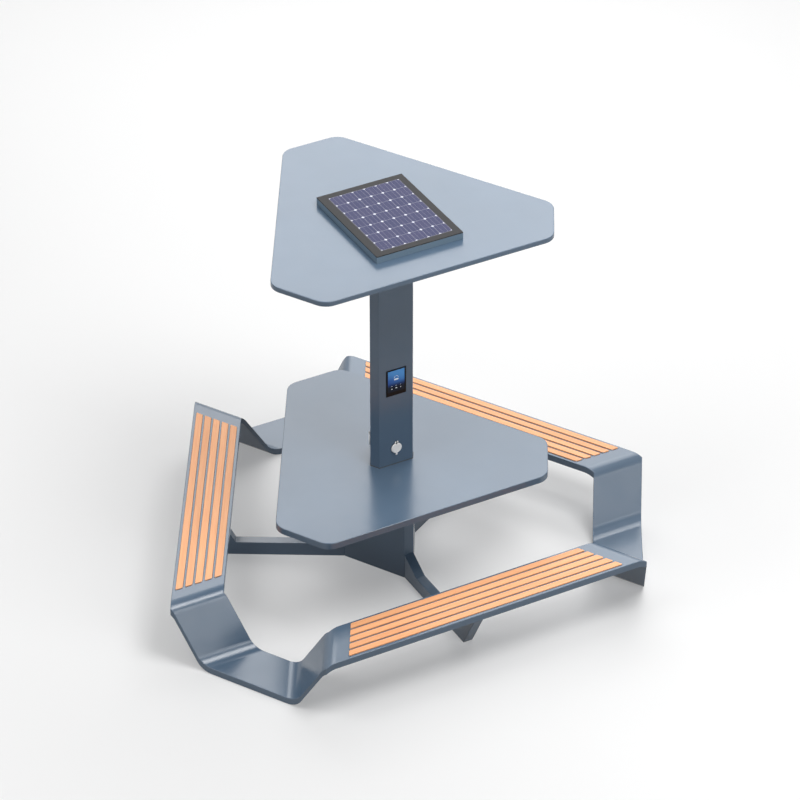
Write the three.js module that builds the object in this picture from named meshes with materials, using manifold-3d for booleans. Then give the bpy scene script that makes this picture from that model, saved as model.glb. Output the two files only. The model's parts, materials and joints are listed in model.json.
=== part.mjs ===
// Solar charging bench: a folded ring with three seats round a table, and a solar canopy on a column.
// Millimetres, +Z up. The origin is on the ground in the middle of the pedestal; the front seat faces -Y.
import * as THREE from 'three';
import { mergeVertices } from 'three/addons/utils/BufferGeometryUtils.js';
import Module from 'manifold-3d';

const wasm = await Module();
wasm.setup();

// Gaps between fitted pieces, and how far a cut runs past the face it opens
const fitGap = 0.3;
const overrun = 5;

// Ring: distance of its outer edge from the middle on the seat sides. On the foot sides it would be one and a
// half times as far out, less the cut that gives the feet their length
const ringSeatReach = 1349;
const ringFootCut = 339;
const ringWidth = 327.5;
const seatHeight = 421;
const ringDepth = 47;
const foldRun = 229.5;
const foldRadius = 107;
const ringSkin = 6;
const ringFlange = 5;
const ringEdgeBevel = 3;
const ringLiner = 4;
const moduleGap = 0.6;
const foldSteps = 9;

// Slats and the ladder under them
const slatsPerSeat = 5;
const slatWidth = 44;
const slatGap = 16;
const slatDepth = 24;
const slatRise = 6;
const slatEndMargin = 159;
const slatBevel = 2;
const slotGap = 1;
const ladderBarWidth = 40;
const ladderStrip = 18;
const ladderStripDepth = 8;
const ladderBarShares = [-0.85, -0.3, 0.3, 0.85];

// Table
const tableHeight = 800;
const tableLongReach = 694;
const tableShortReach = 1042;
const tableDepth = 47;
const tableSkin = 4;
const tableRim = 4;
const tableUnderside = 3;
const slabCornerRadius = 112;
const slabEdgeRadius = 5;
const cornerSteps = 8;
const edgeSteps = 3;

// Canopy
const canopyHeight = 2616;
const canopyLongReach = 694.5;
const canopyShortReach = 1043;
const canopyDepth = 34;
const canopySkin = 3;
const canopyRim = 3;
const canopyUnderside = 2;

// Column between table and canopy
const columnLongReach = 110.5;
const columnShortReach = 161.5;
const columnWall = 5;
const columnCornerRadius = 4;
const columnGap = 1.5;
const smallCornerSteps = 3;

// Star brackets that carry table and canopy on the column
const hubLongReach = 158;
const hubShortReach = 171;
const starWall = 5;
const tableStarMargin = 112;
const tableStarWidth = 60;
const canopyHubMargin = 45;
const canopyStarMargin = 113;
const canopyStarWidth = 50;

// Pedestal, turned half a step from the table
const pedestalLongReach = 173;
const pedestalShortReach = 286;
const pedestalWall = 6;
const pedestalCornerRadius = 4;
const pedestalTopPlate = 12;
const pedestalBasePlate = 12;
const cableHoleRadius = 20;
const anchorHoleRadius = 9;
const anchorReach = 225;

// Arms on the ground from the pedestal to the seats
const armWidth = 67;
const armHeight = 97;
const armRootHeight = 185;
const armRootRun = 157;
const armSetback = 271;
const armFootLength = 70;
const armWall = 4;

// Solar panel on the canopy
const solarWidth = 609;
const solarLength = 800.5;
const solarMiddleX = -12;
const solarMiddleY = -48;
const solarDepth = 49;
const solarBezelDepth = 6;
const solarSkin = 2;
const solarWall = 3;
const solarBorderX = 50.5;
const solarBorderY = 46.25;
const solarFieldShiftX = 5.6;
const solarFieldShiftY = 1.2;
const laminateSink = 0.6;
const solarCornerRadius = 3;
const junctionWidth = 110;
const junctionLength = 84;
const junctionDepth = 24;
const junctionGap = 4;
const cableRadius = 5;
const cableSides = 8;
const cableSteps = 24;
const cableSway = 14;

// Display in the column's front face, at a height above the table
const displayWidth = 145;
const displayHeight = 199.5;
const displayRise = 640.5;
const displayFlange = 3;
const displayBoxWidth = 112;
const displayBoxHeight = 160;
const displayBoxDepth = 30;
const displayCutGap = 1;
const displayLip = 3;
const glassDepth = 1.6;

// Sockets low on the column's three broad faces, at a height above the table, and their flip caps
const socketRise = 127;
const socketFlangeRadius = 36.5;
const socketFlange = 4;
const socketBarrelRadius = 33;
const socketBarrelDepth = 38;
const socketHoleGap = 0.5;
const socketWellRadius = 20;
const socketWellDepth = 26;
const capRadius = 37.5;
const capDepth = 7;
const capBevel = 2.5;
const capBevelDepth = 3;
const hingeRise = 46.5;
const hingeOut = 8.3;
const earInner = 5;
const earWidth = 5;
const earRadius = 5.5;
const lugWidth = 9;
const lugRadius = 4.2;
const lugFoot = 30;
const capNotchGap = 0.5;
const capPinRadius = 1.5;
const capPinGap = 0.3;
const tabWidth = 12;
const tabTip = 52;
const tabDepth = 4;
const roundSteps = 32;
const smallRoundSteps = 16;

// Service door in the pedestal's rear face
const doorWidth = 280;
const doorHeight = 402;
const doorMiddle = 391;
const doorGap = 1;
const doorFrameLap = 15;
const doorFrameBand = 35;
const doorFrameDepth = 4;
const doorHingeIn = 7;
const doorHingeOut = 7;
const knuckleRadius = 5;
const knuckleStrap = 20;
const knuckleStrapDepth = 3;
const knuckleShares = [0.32, 0.5];
const knuckleGap = 0.6;
const doorPinRadius = 2.5;
const doorPinGap = 0.3;
const lockInset = 32;
const lockRadius = 8.6;
const lockHoleGap = 0.6;
const lockHeadRadius = 13;
const lockHeadDepth = 3;
const camReach = 34;
const camWidth = 12;
const camDepth = 3.5;
const camGap = 1.2;

// Rack, battery and charge controller inside the pedestal
const rackSide = 4;
const rackFront = 155;
const rackBack = 105;
const rackDeck = 3;
const rackBackPlate = 3;
const lowerDeckHeight = 150;
const upperDeckHeight = 420;
const batteryWidth = 240;
const batteryDepth = 165;
const batteryHeight = 200;
const batteryCornerRadius = 6;
const controllerWidth = 180;
const controllerDepth = 110;
const controllerHeight = 60;
const rackContentsBack = 95;

// Directions in degrees: broad faces of table, canopy and column, and the seats, look along these
const right = 90;
const sixth = 60;
const third = 120;
const seatAngles = { front: 3 * right, right: right / 3, left: 5 * right / 3 };
const radians = Math.PI / 180;

const paint = { color: 0x61717f, roughness: 0.42, metalness: 0.25 };
const plain = { color: 0x4a5866, roughness: 0.55, metalness: 0.25 };
const galvanised = { color: 0x8e9499, roughness: 0.5, metalness: 0.8 };
const woodPlastic = { color: 0xe8a56c, roughness: 0.7, metalness: 0 };
const bezelBlack = { color: 0x24231f, roughness: 0.35, metalness: 0.4 };
const cellBlue = { color: 0x3a3c66, roughness: 0.15, metalness: 0.1 };
const blackPlastic = { color: 0x101113, roughness: 0.4, metalness: 0 };
const screenBlue = { color: 0x2b66b8, roughness: 0.1, metalness: 0 };
const capGrey = { color: 0xc4c4c6, roughness: 0.45, metalness: 0 };
const steel = { color: 0x9aa0a6, roughness: 0.3, metalness: 0.9 };
const batteryGrey = { color: 0x3b3f44, roughness: 0.6, metalness: 0 };
const controllerGrey = { color: 0xa9adb0, roughness: 0.5, metalness: 0.6 };

const bench = new THREE.Group();

function addPiece(parent, name, geometry, look) {
  const mesh = new THREE.Mesh(geometry, new THREE.MeshStandardMaterial(look));
  mesh.name = name;
  parent.add(mesh);
  return mesh;
}

// Straight lines in plan, each at a distance along its normal; their crossings make a convex outline
function crossing(first, second) {
  const a = first.normal * radians;
  const b = second.normal * radians;
  const det = Math.sin(b - a);
  const x = (first.reach * Math.sin(b) - second.reach * Math.sin(a)) / det;
  const y = (second.reach * Math.cos(a) - first.reach * Math.cos(b)) / det;
  return new THREE.Vector2(x, y);
}

function moved(lines, distance) {
  return lines.map((line) => ({ normal: line.normal, reach: line.reach + distance }));
}

function outline(lines, radius = 0, steps = 0) {
  const points = [];
  lines.forEach((line, i) => {
    const next = lines[(i + 1) % lines.length];
    const centre = crossing(moved([line], -radius)[0], moved([next], -radius)[0]);
    const turn = (next.normal - line.normal + 4 * right) % (4 * right);
    for (let k = 0; k <= steps; k += 1) {
      const angle = (line.normal + (steps ? (turn * k) / steps : 0)) * radians;
      points.push(centre.clone().add(new THREE.Vector2(radius * Math.cos(angle), radius * Math.sin(angle))));
    }
  });
  return points;
}

function cutTriangle(longReach, shortReach, turn = 0) {
  const lines = [];
  for (let i = 0; i < 6; i += 1) {
    lines.push({ normal: right / 3 + turn + i * sixth, reach: i % 2 ? shortReach : longReach });
  }
  return lines;
}

function rectangle(left, rightSide, near, far) {
  return [
    { normal: 0, reach: rightSide },
    { normal: right, reach: far },
    { normal: 2 * right, reach: -left },
    { normal: 3 * right, reach: -near },
  ];
}

// A closed solid through rings of points, with convex ends
function loft(rings) {
  const count = rings[0].length;
  const positions = rings.flat().flatMap((p) => [p.x, p.y, p.z]);
  const index = [];
  for (let r = 0; r + 1 < rings.length; r += 1) {
    for (let i = 0; i < count; i += 1) {
      const j = (i + 1) % count;
      const low = r * count;
      const high = low + count;
      index.push(low + i, low + j, high + j, low + i, high + j, high + i);
    }
  }
  const last = (rings.length - 1) * count;
  for (let i = 1; i + 1 < count; i += 1) {
    index.push(0, i + 1, i, last, last + i, last + i + 1);
  }
  const geometry = new THREE.BufferGeometry();
  geometry.setAttribute('position', new THREE.Float32BufferAttribute(positions, 3));
  geometry.setIndex(index);
  return geometry;
}

function stack(levels) {
  return loft(levels.map(({ points, z }) => points.map((p) => new THREE.Vector3(p.x, p.y, z))));
}

function slab(lines, low, high, radius = 0, steps = 0) {
  const points = outline(lines, radius, steps);
  return stack([{ points, z: low }, { points, z: high }]);
}

// A slab whose upper edge is rounded
function softSlab(lines, low, high, radius, edge) {
  const levels = [{ points: outline(lines, radius, cornerSteps), z: low }];
  for (let k = 0; k <= edgeSteps; k += 1) {
    const angle = (right * k * radians) / edgeSteps;
    const inset = edge * (1 - Math.cos(angle));
    const points = outline(moved(lines, -inset), radius - inset, cornerSteps);
    levels.push({ points, z: high - edge + edge * Math.sin(angle) });
  }
  return stack(levels);
}

function box(left, rightSide, near, far, low, high) {
  return slab(rectangle(left, rightSide, near, far), low, high);
}

// A round bar between two ends
function bar(radius, from, to, steps) {
  const length = from.distanceTo(to);
  const geometry = new THREE.CylinderGeometry(radius, radius, length, steps);
  const direction = to.clone().sub(from).normalize();
  geometry.applyQuaternion(new THREE.Quaternion().setFromUnitVectors(new THREE.Vector3(0, 1, 0), direction));
  const middle = from.clone().add(to).multiplyScalar(0.5);
  return geometry.translate(middle.x, middle.y, middle.z);
}

function at(x, y, z) {
  return new THREE.Vector3(x, y, z);
}

function toSolid(geometry) {
  const bare = geometry.clone();
  bare.deleteAttribute('normal');
  bare.deleteAttribute('uv');
  const merged = mergeVertices(bare);
  const vertProperties = new Float32Array(merged.attributes.position.array);
  const triVerts = new Uint32Array(merged.index.array);
  return new wasm.Manifold(new wasm.Mesh({ numProp: 3, vertProperties, triVerts }));
}

function fromSolid(solid) {
  const mesh = solid.getMesh();
  const geometry = new THREE.BufferGeometry();
  geometry.setAttribute('position', new THREE.BufferAttribute(new Float32Array(mesh.vertProperties), 3));
  geometry.setIndex(new THREE.BufferAttribute(new Uint32Array(mesh.triVerts), 1));
  geometry.computeVertexNormals();
  return geometry;
}

function cut(base, ...tools) {
  return fromSolid(tools.reduce((solid, tool) => solid.subtract(toSolid(tool)), toSolid(base)));
}

function join(base, ...others) {
  return fromSolid(others.reduce((solid, other) => solid.add(toSolid(other)), toSolid(base)));
}

// Ring module, drawn for the front seat: the seat lies square to -Y and folds down to half a foot at each end
const seatLine = { normal: seatAngles.front, reach: ringSeatReach };
const ringFootReach = 1.5 * ringSeatReach - ringFootCut;
const footLine = { normal: seatAngles.front + sixth, reach: ringFootReach };
const foldNormal = seatAngles.front + third;
const foldOrigin = crossing(seatLine, footLine);
const foldAngle = foldNormal * radians;
const foldReach = foldOrigin.x * Math.cos(foldAngle) + foldOrigin.y * Math.sin(foldAngle);
const footTop = ringDepth;
const foldDrop = seatHeight - footTop;
const slopeRun = foldRun * Math.cos((right - sixth) * radians);
const slopeAngle = Math.atan2(foldDrop, slopeRun);
const foldLead = foldRadius * Math.tan(slopeAngle / 2);

// Height of the ring's upper face at a distance past the fold line, towards the foot
function ringTop(past) {
  if (past <= -foldLead) return seatHeight;
  if (past < -foldLead + foldRadius * Math.sin(slopeAngle)) {
    return seatHeight - foldRadius + Math.sqrt(foldRadius ** 2 - (past + foldLead) ** 2);
  }
  const lower = slopeRun + foldLead;
  if (past < lower - foldRadius * Math.sin(slopeAngle)) return seatHeight - past * Math.tan(slopeAngle);
  if (past < lower) return footTop + foldRadius - Math.sqrt(foldRadius ** 2 - (past - lower) ** 2);
  return footTop;
}

function foldStations() {
  const stations = [];
  for (let k = 0; k <= foldSteps; k += 1) {
    stations.push(-foldLead + foldRadius * Math.sin((slopeAngle * k) / foldSteps));
  }
  for (let k = foldSteps; k >= 0; k -= 1) {
    stations.push(slopeRun + foldLead - foldRadius * Math.sin((slopeAngle * k) / foldSteps));
  }
  stations.push(0);
  return stations.sort((a, b) => a - b);
}

// The section's corners: which edge of the ring each is measured from, how far in, and how far below the top
function ringSection(station, section) {
  const edge = station <= 0 ? seatLine : footLine;
  const fold = { normal: foldNormal, reach: foldReach + station };
  return section.map(({ inner, inset, drop }) => {
    const reach = edge.reach - (inner ? ringWidth - inset : inset);
    const point = crossing({ normal: edge.normal, reach }, fold);
    return at(point.x, point.y, ringTop(station) - drop);
  });
}

function ringEnd(section, endInset) {
  const angle = footLine.normal * radians;
  return section.map(({ inner, inset, drop }) => {
    const reach = footLine.reach - (inner ? ringWidth - inset : inset);
    const x = reach * Math.cos(angle) + endInset * Math.sin(angle);
    const y = reach * Math.sin(angle) - endInset * Math.cos(angle);
    return at(x, y, footTop - drop);
  });
}

function ringSolid(section, endInset) {
  const half = foldStations().map((station) => ringSection(station, section));
  half.push(ringEnd(section, endInset));
  const mirrored = half.map((ring) => ring.map((p) => at(-p.x, p.y, p.z)));
  return loft([...half.reverse(), ...mirrored]);
}

const ringTray = ringSolid([
  { inner: false, inset: 0, drop: ringDepth },
  { inner: false, inset: 0, drop: ringEdgeBevel },
  { inner: false, inset: ringEdgeBevel, drop: 0 },
  { inner: true, inset: ringEdgeBevel, drop: 0 },
  { inner: true, inset: 0, drop: ringEdgeBevel },
  { inner: true, inset: 0, drop: ringDepth },
], moduleGap / 2);

function ringFill(inset, top, bottom, endInset) {
  return ringSolid([
    { inner: false, inset, drop: bottom },
    { inner: false, inset, drop: top },
    { inner: true, inset, drop: top },
    { inner: true, inset, drop: bottom },
  ], endInset);
}

const ringHollow = ringFill(ringFlange, ringSkin, ringDepth + overrun, moduleGap / 2 + ringFlange);
const linerInset = ringFlange + fitGap;
const ringUnderside = ringFill(linerInset, ringDepth - ringLiner, ringDepth, moduleGap / 2 + linerInset);

// Slats run along the seat; their ends follow the fold
const slatField = slatsPerSeat * slatWidth + (slatsPerSeat - 1) * slatGap;
const slatMargin = (ringWidth - slatField) / 2;
const slatEndReach = foldReach - slatEndMargin * Math.cos((right - sixth) * radians);

function slatLines(i) {
  const outer = ringSeatReach - slatMargin - i * (slatWidth + slatGap);
  return [
    { normal: right / 3, reach: slatEndReach },
    { normal: right, reach: slatWidth - outer },
    { normal: 5 * right / 3, reach: slatEndReach },
    { normal: 3 * right, reach: outer },
  ];
}

const slatTop = seatHeight + slatRise;
const slatFoot = slatTop - slatDepth;
const slatIndexes = Array.from({ length: slatsPerSeat }, (_, i) => i);
const slots = slatIndexes.map((i) => slab(moved(slatLines(i), slotGap), slatFoot, slatTop + overrun));

function slat(i) {
  const full = outline(slatLines(i));
  const shaved = outline(moved(slatLines(i), -slatBevel));
  return stack([
    { points: full, z: slatFoot },
    { points: full, z: slatTop - slatBevel },
    { points: shaved, z: slatTop },
  ]);
}

const underTop = seatHeight - ringDepth + ringLiner;
const ladderOuter = -(ringSeatReach - linerInset);
const ladderInner = -(ringSeatReach - ringWidth + linerInset);
const ladderHalf = foldOrigin.x - slatEndMargin - ringWidth * Math.tan((right - sixth) * radians);

function ladder() {
  const low = underTop + fitGap;
  const bars = ladderBarShares.map((share) => {
    const left = share * ladderHalf - ladderBarWidth / 2;
    return box(left, left + ladderBarWidth, ladderOuter, ladderInner, low, slatFoot - fitGap);
  });
  const length = Math.max(...ladderBarShares) * ladderHalf + ladderBarWidth / 2;
  const high = low + ladderStripDepth;
  bars.push(box(-length, length, ladderOuter, ladderOuter + ladderStrip, low, high));
  bars.push(box(-length, length, ladderInner - ladderStrip, ladderInner, low, high));
  return join(...bars);
}

// Arm: its side outline lies along the seat's direction, and the hollow is open at both ends
function armOutline(wall) {
  const rise = (armRootHeight - armHeight) / armRootRun;
  const lean = Math.tan(slopeAngle);
  const root = pedestalShortReach + fitGap - (wall ? overrun : 0);
  const head = seatHeight - ringDepth - fitGap + (wall ? overrun : 0);
  const slopeDrop = wall * Math.hypot(1, rise);
  const leanShift = wall * Math.hypot(1, 1 / lean);
  const flat = armHeight - wall;
  const creaseReach = pedestalShortReach + armRootRun + (wall - slopeDrop) / rise;
  const footReach = ringSeatReach - armSetback;
  const innerReach = footReach - armFootLength + leanShift - wall / lean;
  const outerReach = footReach - leanShift + wall / lean;
  return [
    [root, wall],
    [outerReach, wall],
    [outerReach + (head - wall) / lean, head],
    [innerReach + (head - flat) / lean, head],
    [innerReach, flat],
    [creaseReach, flat],
    [root, flat + (creaseReach - root) * rise],
  ];
}

function armBody(wall) {
  const shape = new THREE.Shape(armOutline(wall).map(([reach, z]) => new THREE.Vector2(reach, z)));
  const width = armWidth - 2 * wall;
  const geometry = new THREE.ExtrudeGeometry(shape, { depth: width, bevelEnabled: false });
  geometry.translate(0, 0, -width / 2);
  geometry.rotateX(right * radians);
  return geometry.rotateZ(seatAngles.front * radians);
}

// Socket, drawn for the front face of the column
const faceY = -columnLongReach;
const socketHeight = tableHeight + socketRise;
const hingeY = faceY - hingeOut;
const hingeZ = socketHeight + hingeRise;

function outward(radius, near, far, steps = roundSteps) {
  return bar(radius, at(0, faceY - near, socketHeight), at(0, faceY - far, socketHeight), steps);
}

function acrossHinge(radius, from, to) {
  return bar(radius, at(from, hingeY, hingeZ), at(to, hingeY, hingeZ), smallRoundSteps);
}

const flangeFace = fitGap + socketFlange;
const capNear = flangeFace + fitGap;
const pinHoleRadius = capPinRadius + capPinGap;

function socketBody() {
  const halfLug = lugWidth / 2;
  const lug = box(-halfLug, halfLug, hingeY, faceY - fitGap, socketHeight + lugFoot, hingeZ);
  const body = join(
    outward(socketFlangeRadius, fitGap, flangeFace),
    outward(socketBarrelRadius, -socketBarrelDepth, flangeFace - fitGap),
    lug,
    acrossHinge(lugRadius, -halfLug, halfLug),
  );
  return cut(
    body,
    outward(socketWellRadius, -socketWellDepth, flangeFace + overrun),
    acrossHinge(pinHoleRadius, -halfLug - overrun, halfLug + overrun),
  );
}

function socketCap() {
  const profile = [
    [0, 0],
    [capRadius, 0],
    [capRadius, capDepth - capBevelDepth],
    [capRadius - capBevel, capDepth],
    [0, capDepth],
  ];
  const disc = new THREE.LatheGeometry(profile.map(([r, h]) => new THREE.Vector2(r, h)), roundSteps);
  disc.rotateX(2 * right * radians);
  disc.translate(0, faceY - capNear, socketHeight);
  const far = faceY - capNear - capDepth;
  const ears = [-1, 1].flatMap((side) => {
    const inside = side * earInner;
    const outside = side * (earInner + earWidth);
    const left = Math.min(inside, outside);
    const rightSide = Math.max(inside, outside);
    return [
      box(left, rightSide, far + capBevelDepth, faceY - capNear, socketHeight + lugFoot, hingeZ),
      acrossHinge(earRadius, left, rightSide),
    ];
  });
  const tabFar = faceY - capNear - (capDepth + tabDepth) / 2;
  const tabTop = socketHeight - socketFlangeRadius + overrun;
  const tab = box(-tabWidth / 2, tabWidth / 2, tabFar, tabFar + tabDepth, socketHeight - tabTip, tabTop);
  const notch = lugWidth / 2 + capNotchGap;
  return cut(
    join(disc, ...ears, tab),
    box(-notch, notch, far - overrun, faceY, socketHeight + lugFoot - capNotchGap, hingeZ + 2 * earRadius),
    acrossHinge(pinHoleRadius, -earInner - earWidth - overrun, earInner + earWidth + overrun),
  );
}

// Column, with openings for the display and for the sockets
const displayMiddle = tableHeight + displayRise;
const columnFoot = tableHeight - tableDepth;
const canopySkinUnder = canopyHeight - canopySkin;
const columnTop = canopySkinUnder - fitGap;
const columnLines = cutTriangle(columnLongReach, columnShortReach);

function turned(geometry, name) {
  return geometry.rotateZ((seatAngles[name] - seatAngles.front) * radians);
}

function column() {
  const shell = slab(columnLines, columnFoot, columnTop, columnCornerRadius, smallCornerSteps);
  const hollow = slab(moved(columnLines, -columnWall), columnFoot - overrun, columnTop + overrun);
  const halfWidth = displayBoxWidth / 2 + displayCutGap;
  const halfHeight = displayBoxHeight / 2 + displayCutGap;
  const window = box(
    -halfWidth, halfWidth, faceY - overrun, faceY + columnWall + overrun,
    displayMiddle - halfHeight, displayMiddle + halfHeight,
  );
  const holes = Object.keys(seatAngles).map((name) => {
    const hole = outward(socketBarrelRadius + socketHoleGap, -columnWall - overrun, overrun);
    return turned(hole, name);
  });
  return cut(shell, hollow, window, ...holes);
}

// Table and canopy: trays closed from below, each carried on the column by a star bracket
const tableLines = cutTriangle(tableLongReach, tableShortReach);
const canopyLines = cutTriangle(canopyLongReach, canopyShortReach);
const tableBottom = tableHeight - tableDepth;
const canopyBottom = canopyHeight - canopyDepth;
const cableX = solarMiddleX;
const cableY = solarMiddleY;

function upright(radius, x, y, low, high) {
  return bar(radius, at(x, y, low), at(x, y, high), smallRoundSteps);
}

function cableHole(low, high) {
  return upright(cableHoleRadius, cableX, cableY, low - overrun, high + overrun);
}

function tableTop() {
  const body = softSlab(tableLines, tableBottom, tableHeight, slabCornerRadius, slabEdgeRadius);
  const inner = moved(tableLines, -tableRim);
  const hollowTop = tableHeight - tableSkin;
  const hollow = slab(inner, tableBottom - overrun, hollowTop, slabCornerRadius - tableRim, cornerSteps);
  return cut(body, hollow, slab(moved(columnLines, columnGap), hollowTop - overrun, tableHeight + overrun));
}

const hubLines = cutTriangle(hubLongReach, hubShortReach);

function tableUndersidePlate() {
  const inner = moved(tableLines, -tableRim - fitGap);
  const radius = slabCornerRadius - tableRim - fitGap;
  const high = tableBottom + tableUnderside;
  const plate = slab(inner, tableBottom, high, radius, cornerSteps);
  return cut(plate, slab(moved(hubLines, fitGap), tableBottom - overrun, high + overrun));
}

function canopyTop() {
  const body = softSlab(canopyLines, canopyBottom, canopyHeight, slabCornerRadius, slabEdgeRadius);
  const inner = moved(canopyLines, -canopyRim);
  const radius = slabCornerRadius - canopyRim;
  const hollow = slab(inner, canopyBottom - overrun, canopySkinUnder, radius, cornerSteps);
  return cut(body, hollow, cableHole(canopySkinUnder, canopyHeight));
}

function canopyUndersidePlate() {
  const inner = moved(canopyLines, -canopyRim - fitGap);
  const radius = slabCornerRadius - canopyRim - fitGap;
  const high = canopyBottom + canopyUnderside;
  const plate = slab(inner, canopyBottom, high, radius, cornerSteps);
  return cut(plate, slab(moved(columnLines, columnGap), canopyBottom - overrun, high + overrun));
}

// A hub round the column with a channel, open below, towards each cut corner
function star(lines, reach, width, hubLow, barLow, high) {
  const names = Object.keys(seatAngles);
  const bars = names.map((name) => turned(box(-width / 2, width / 2, 0, reach, barLow, high), name));
  const half = width / 2 - starWall;
  const hollows = names.map((name) => {
    const hollow = box(-half, half, 0, reach + overrun, barLow - overrun, high - starWall);
    return turned(hollow, name);
  });
  const bore = slab(moved(columnLines, fitGap), hubLow - overrun, high + overrun);
  return cut(join(cut(join(...bars), ...hollows), slab(lines, hubLow, high)), bore);
}

// Pedestal with its plates
const pedestalLines = cutTriangle(pedestalLongReach, pedestalShortReach, sixth);
const pedestalTop = tableBottom - fitGap;
const doorLow = doorMiddle - doorHeight / 2;
const doorHigh = doorMiddle + doorHeight / 2;
const doorHingeX = -doorWidth / 2 - doorHingeIn;
const doorHingeY = pedestalLongReach + doorHingeOut;
const lockX = doorWidth / 2 - lockInset;

// Half the hinge's length, and where the knuckles of wall and door meet
const hingeHalf = knuckleShares[1] * doorHeight - doorGap;
const hingeMeet = knuckleShares[0] * doorHeight;
const doorPinBore = upright(
  doorPinRadius + doorPinGap, doorHingeX, doorHingeY, doorLow - overrun, doorHigh + overrun,
);

function wallKnuckles() {
  return [-1, 1].flatMap((side) => {
    const ends = [doorMiddle + side * hingeMeet, doorMiddle + side * hingeHalf].sort((a, b) => a - b);
    const strapEnd = doorHingeX - knuckleStrap;
    const strapOut = pedestalLongReach + knuckleStrapDepth;
    return [
      box(strapEnd, doorHingeX, pedestalLongReach - doorGap, strapOut, ...ends),
      box(doorHingeX - knuckleRadius, doorHingeX, pedestalLongReach - doorGap, doorHingeY, ...ends),
      upright(knuckleRadius, doorHingeX, doorHingeY, ...ends),
    ];
  });
}

function pedestalShell() {
  const shell = slab(pedestalLines, 0, pedestalTop, pedestalCornerRadius, smallCornerSteps);
  const hollow = slab(moved(pedestalLines, -pedestalWall), -overrun, pedestalTop + overrun);
  const inside = pedestalLongReach - pedestalWall - overrun;
  const opening = box(-doorWidth / 2, doorWidth / 2, inside, pedestalLongReach + overrun, doorLow, doorHigh);
  const walls = cut(shell, hollow, opening);
  return cut(join(walls, ...wallKnuckles()), doorPinBore);
}

const plateLines = moved(pedestalLines, -pedestalWall - fitGap);

function pedestalTopPlateBody() {
  const plate = slab(plateLines, pedestalTop - pedestalTopPlate, pedestalTop);
  return cut(plate, cableHole(pedestalTop - pedestalTopPlate, pedestalTop));
}

function pedestalBasePlateBody() {
  const holes = Object.values(seatAngles).map((angle) => {
    const x = anchorReach * Math.cos(angle * radians);
    const y = anchorReach * Math.sin(angle * radians);
    return upright(anchorHoleRadius, x, y, -overrun, pedestalBasePlate + overrun);
  });
  return cut(slab(plateLines, 0, pedestalBasePlate), ...holes);
}

// Service door, its frame behind the wall, its hinge pin and its cam lock
const wallInside = pedestalLongReach - pedestalWall;
const frameFar = wallInside - fitGap;

function serviceDoor() {
  const half = doorWidth / 2 - doorGap;
  const inside = wallInside + fitGap;
  const leaf = box(-half, half, inside, pedestalLongReach, doorLow + doorGap, doorHigh - doorGap);
  const low = doorMiddle - hingeMeet + knuckleGap;
  const high = doorMiddle + hingeMeet - knuckleGap;
  const strapIn = -half + knuckleStrap;
  const strapOut = pedestalLongReach + knuckleStrapDepth;
  const door = join(
    leaf,
    box(-half, strapIn, pedestalLongReach - doorGap, doorHingeY, low, high),
    box(doorHingeX, -half + doorGap, strapOut, doorHingeY, low, high),
    upright(knuckleRadius, doorHingeX, doorHingeY, low, high),
  );
  const lockHole = bar(
    lockRadius + lockHoleGap,
    at(lockX, wallInside - overrun, doorMiddle),
    at(lockX, pedestalLongReach + overrun, doorMiddle),
    smallRoundSteps,
  );
  return cut(door, doorPinBore, lockHole);
}

function doorFrame() {
  const outer = doorWidth / 2 + doorFrameLap;
  const inner = outer - doorFrameBand;
  const low = doorLow - doorFrameLap;
  const high = doorHigh + doorFrameLap;
  const near = frameFar - doorFrameDepth;
  return cut(
    box(-outer, outer, near, frameFar, low, high),
    box(-inner, inner, near - overrun, frameFar + overrun, low + doorFrameBand, high - doorFrameBand),
  );
}

function doorLock() {
  const camFar = frameFar - doorFrameDepth - camGap;
  const camNear = camFar - camDepth;
  const headNear = pedestalLongReach + fitGap;
  const headFar = headNear + lockHeadDepth;
  const side = camWidth / 2;
  return join(
    bar(lockRadius, at(lockX, camNear, doorMiddle), at(lockX, headFar, doorMiddle), smallRoundSteps),
    bar(lockHeadRadius, at(lockX, headNear, doorMiddle), at(lockX, headFar, doorMiddle), smallRoundSteps),
    box(lockX - side, lockX + side, camNear, camFar, doorMiddle - camReach, doorMiddle),
  );
}

// Rack in the pedestal: two decks on a back plate that stands on the base plate
function rack() {
  const side = pedestalLongReach - pedestalWall - rackSide;
  const shortSide = pedestalShortReach - pedestalWall - rackSide;
  const deckLines = cutTriangle(side, shortSide, sixth).map((line) => {
    if (line.normal === right) return { normal: right, reach: rackFront };
    if (line.normal === 3 * right) return { normal: 3 * right, reach: rackBack };
    return line;
  });
  const half = crossing(
    deckLines.find((line) => line.normal === 3 * right),
    deckLines.find((line) => line.normal === 4 * right - right / 3),
  ).x;
  const high = upperDeckHeight + rackDeck;
  return join(
    slab(deckLines, lowerDeckHeight, lowerDeckHeight + rackDeck),
    slab(deckLines, upperDeckHeight, high),
    box(-half, half, -rackBack, -rackBack + rackBackPlate, pedestalBasePlate + fitGap, high),
  );
}

// Solar panel: housing, bezel round the laminate, junction box below it and the cable down the column
const solarLines = rectangle(
  solarMiddleX - solarWidth / 2, solarMiddleX + solarWidth / 2,
  solarMiddleY - solarLength / 2, solarMiddleY + solarLength / 2,
);
const fieldX = solarMiddleX + solarFieldShiftX;
const fieldY = solarMiddleY + solarFieldShiftY;
const halfFieldX = solarWidth / 2 - solarBorderX;
const halfFieldY = solarLength / 2 - solarBorderY;
const fieldLines = rectangle(fieldX - halfFieldX, fieldX + halfFieldX, fieldY - halfFieldY, fieldY + halfFieldY);
const junctionLines = rectangle(
  solarMiddleX - junctionWidth / 2, solarMiddleX + junctionWidth / 2,
  solarMiddleY - junctionLength / 2, solarMiddleY + junctionLength / 2,
);
const solarTop = canopyHeight + solarDepth;
const bezelFoot = solarTop - solarBezelDepth;
const housingTop = bezelFoot - fitGap;

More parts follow.
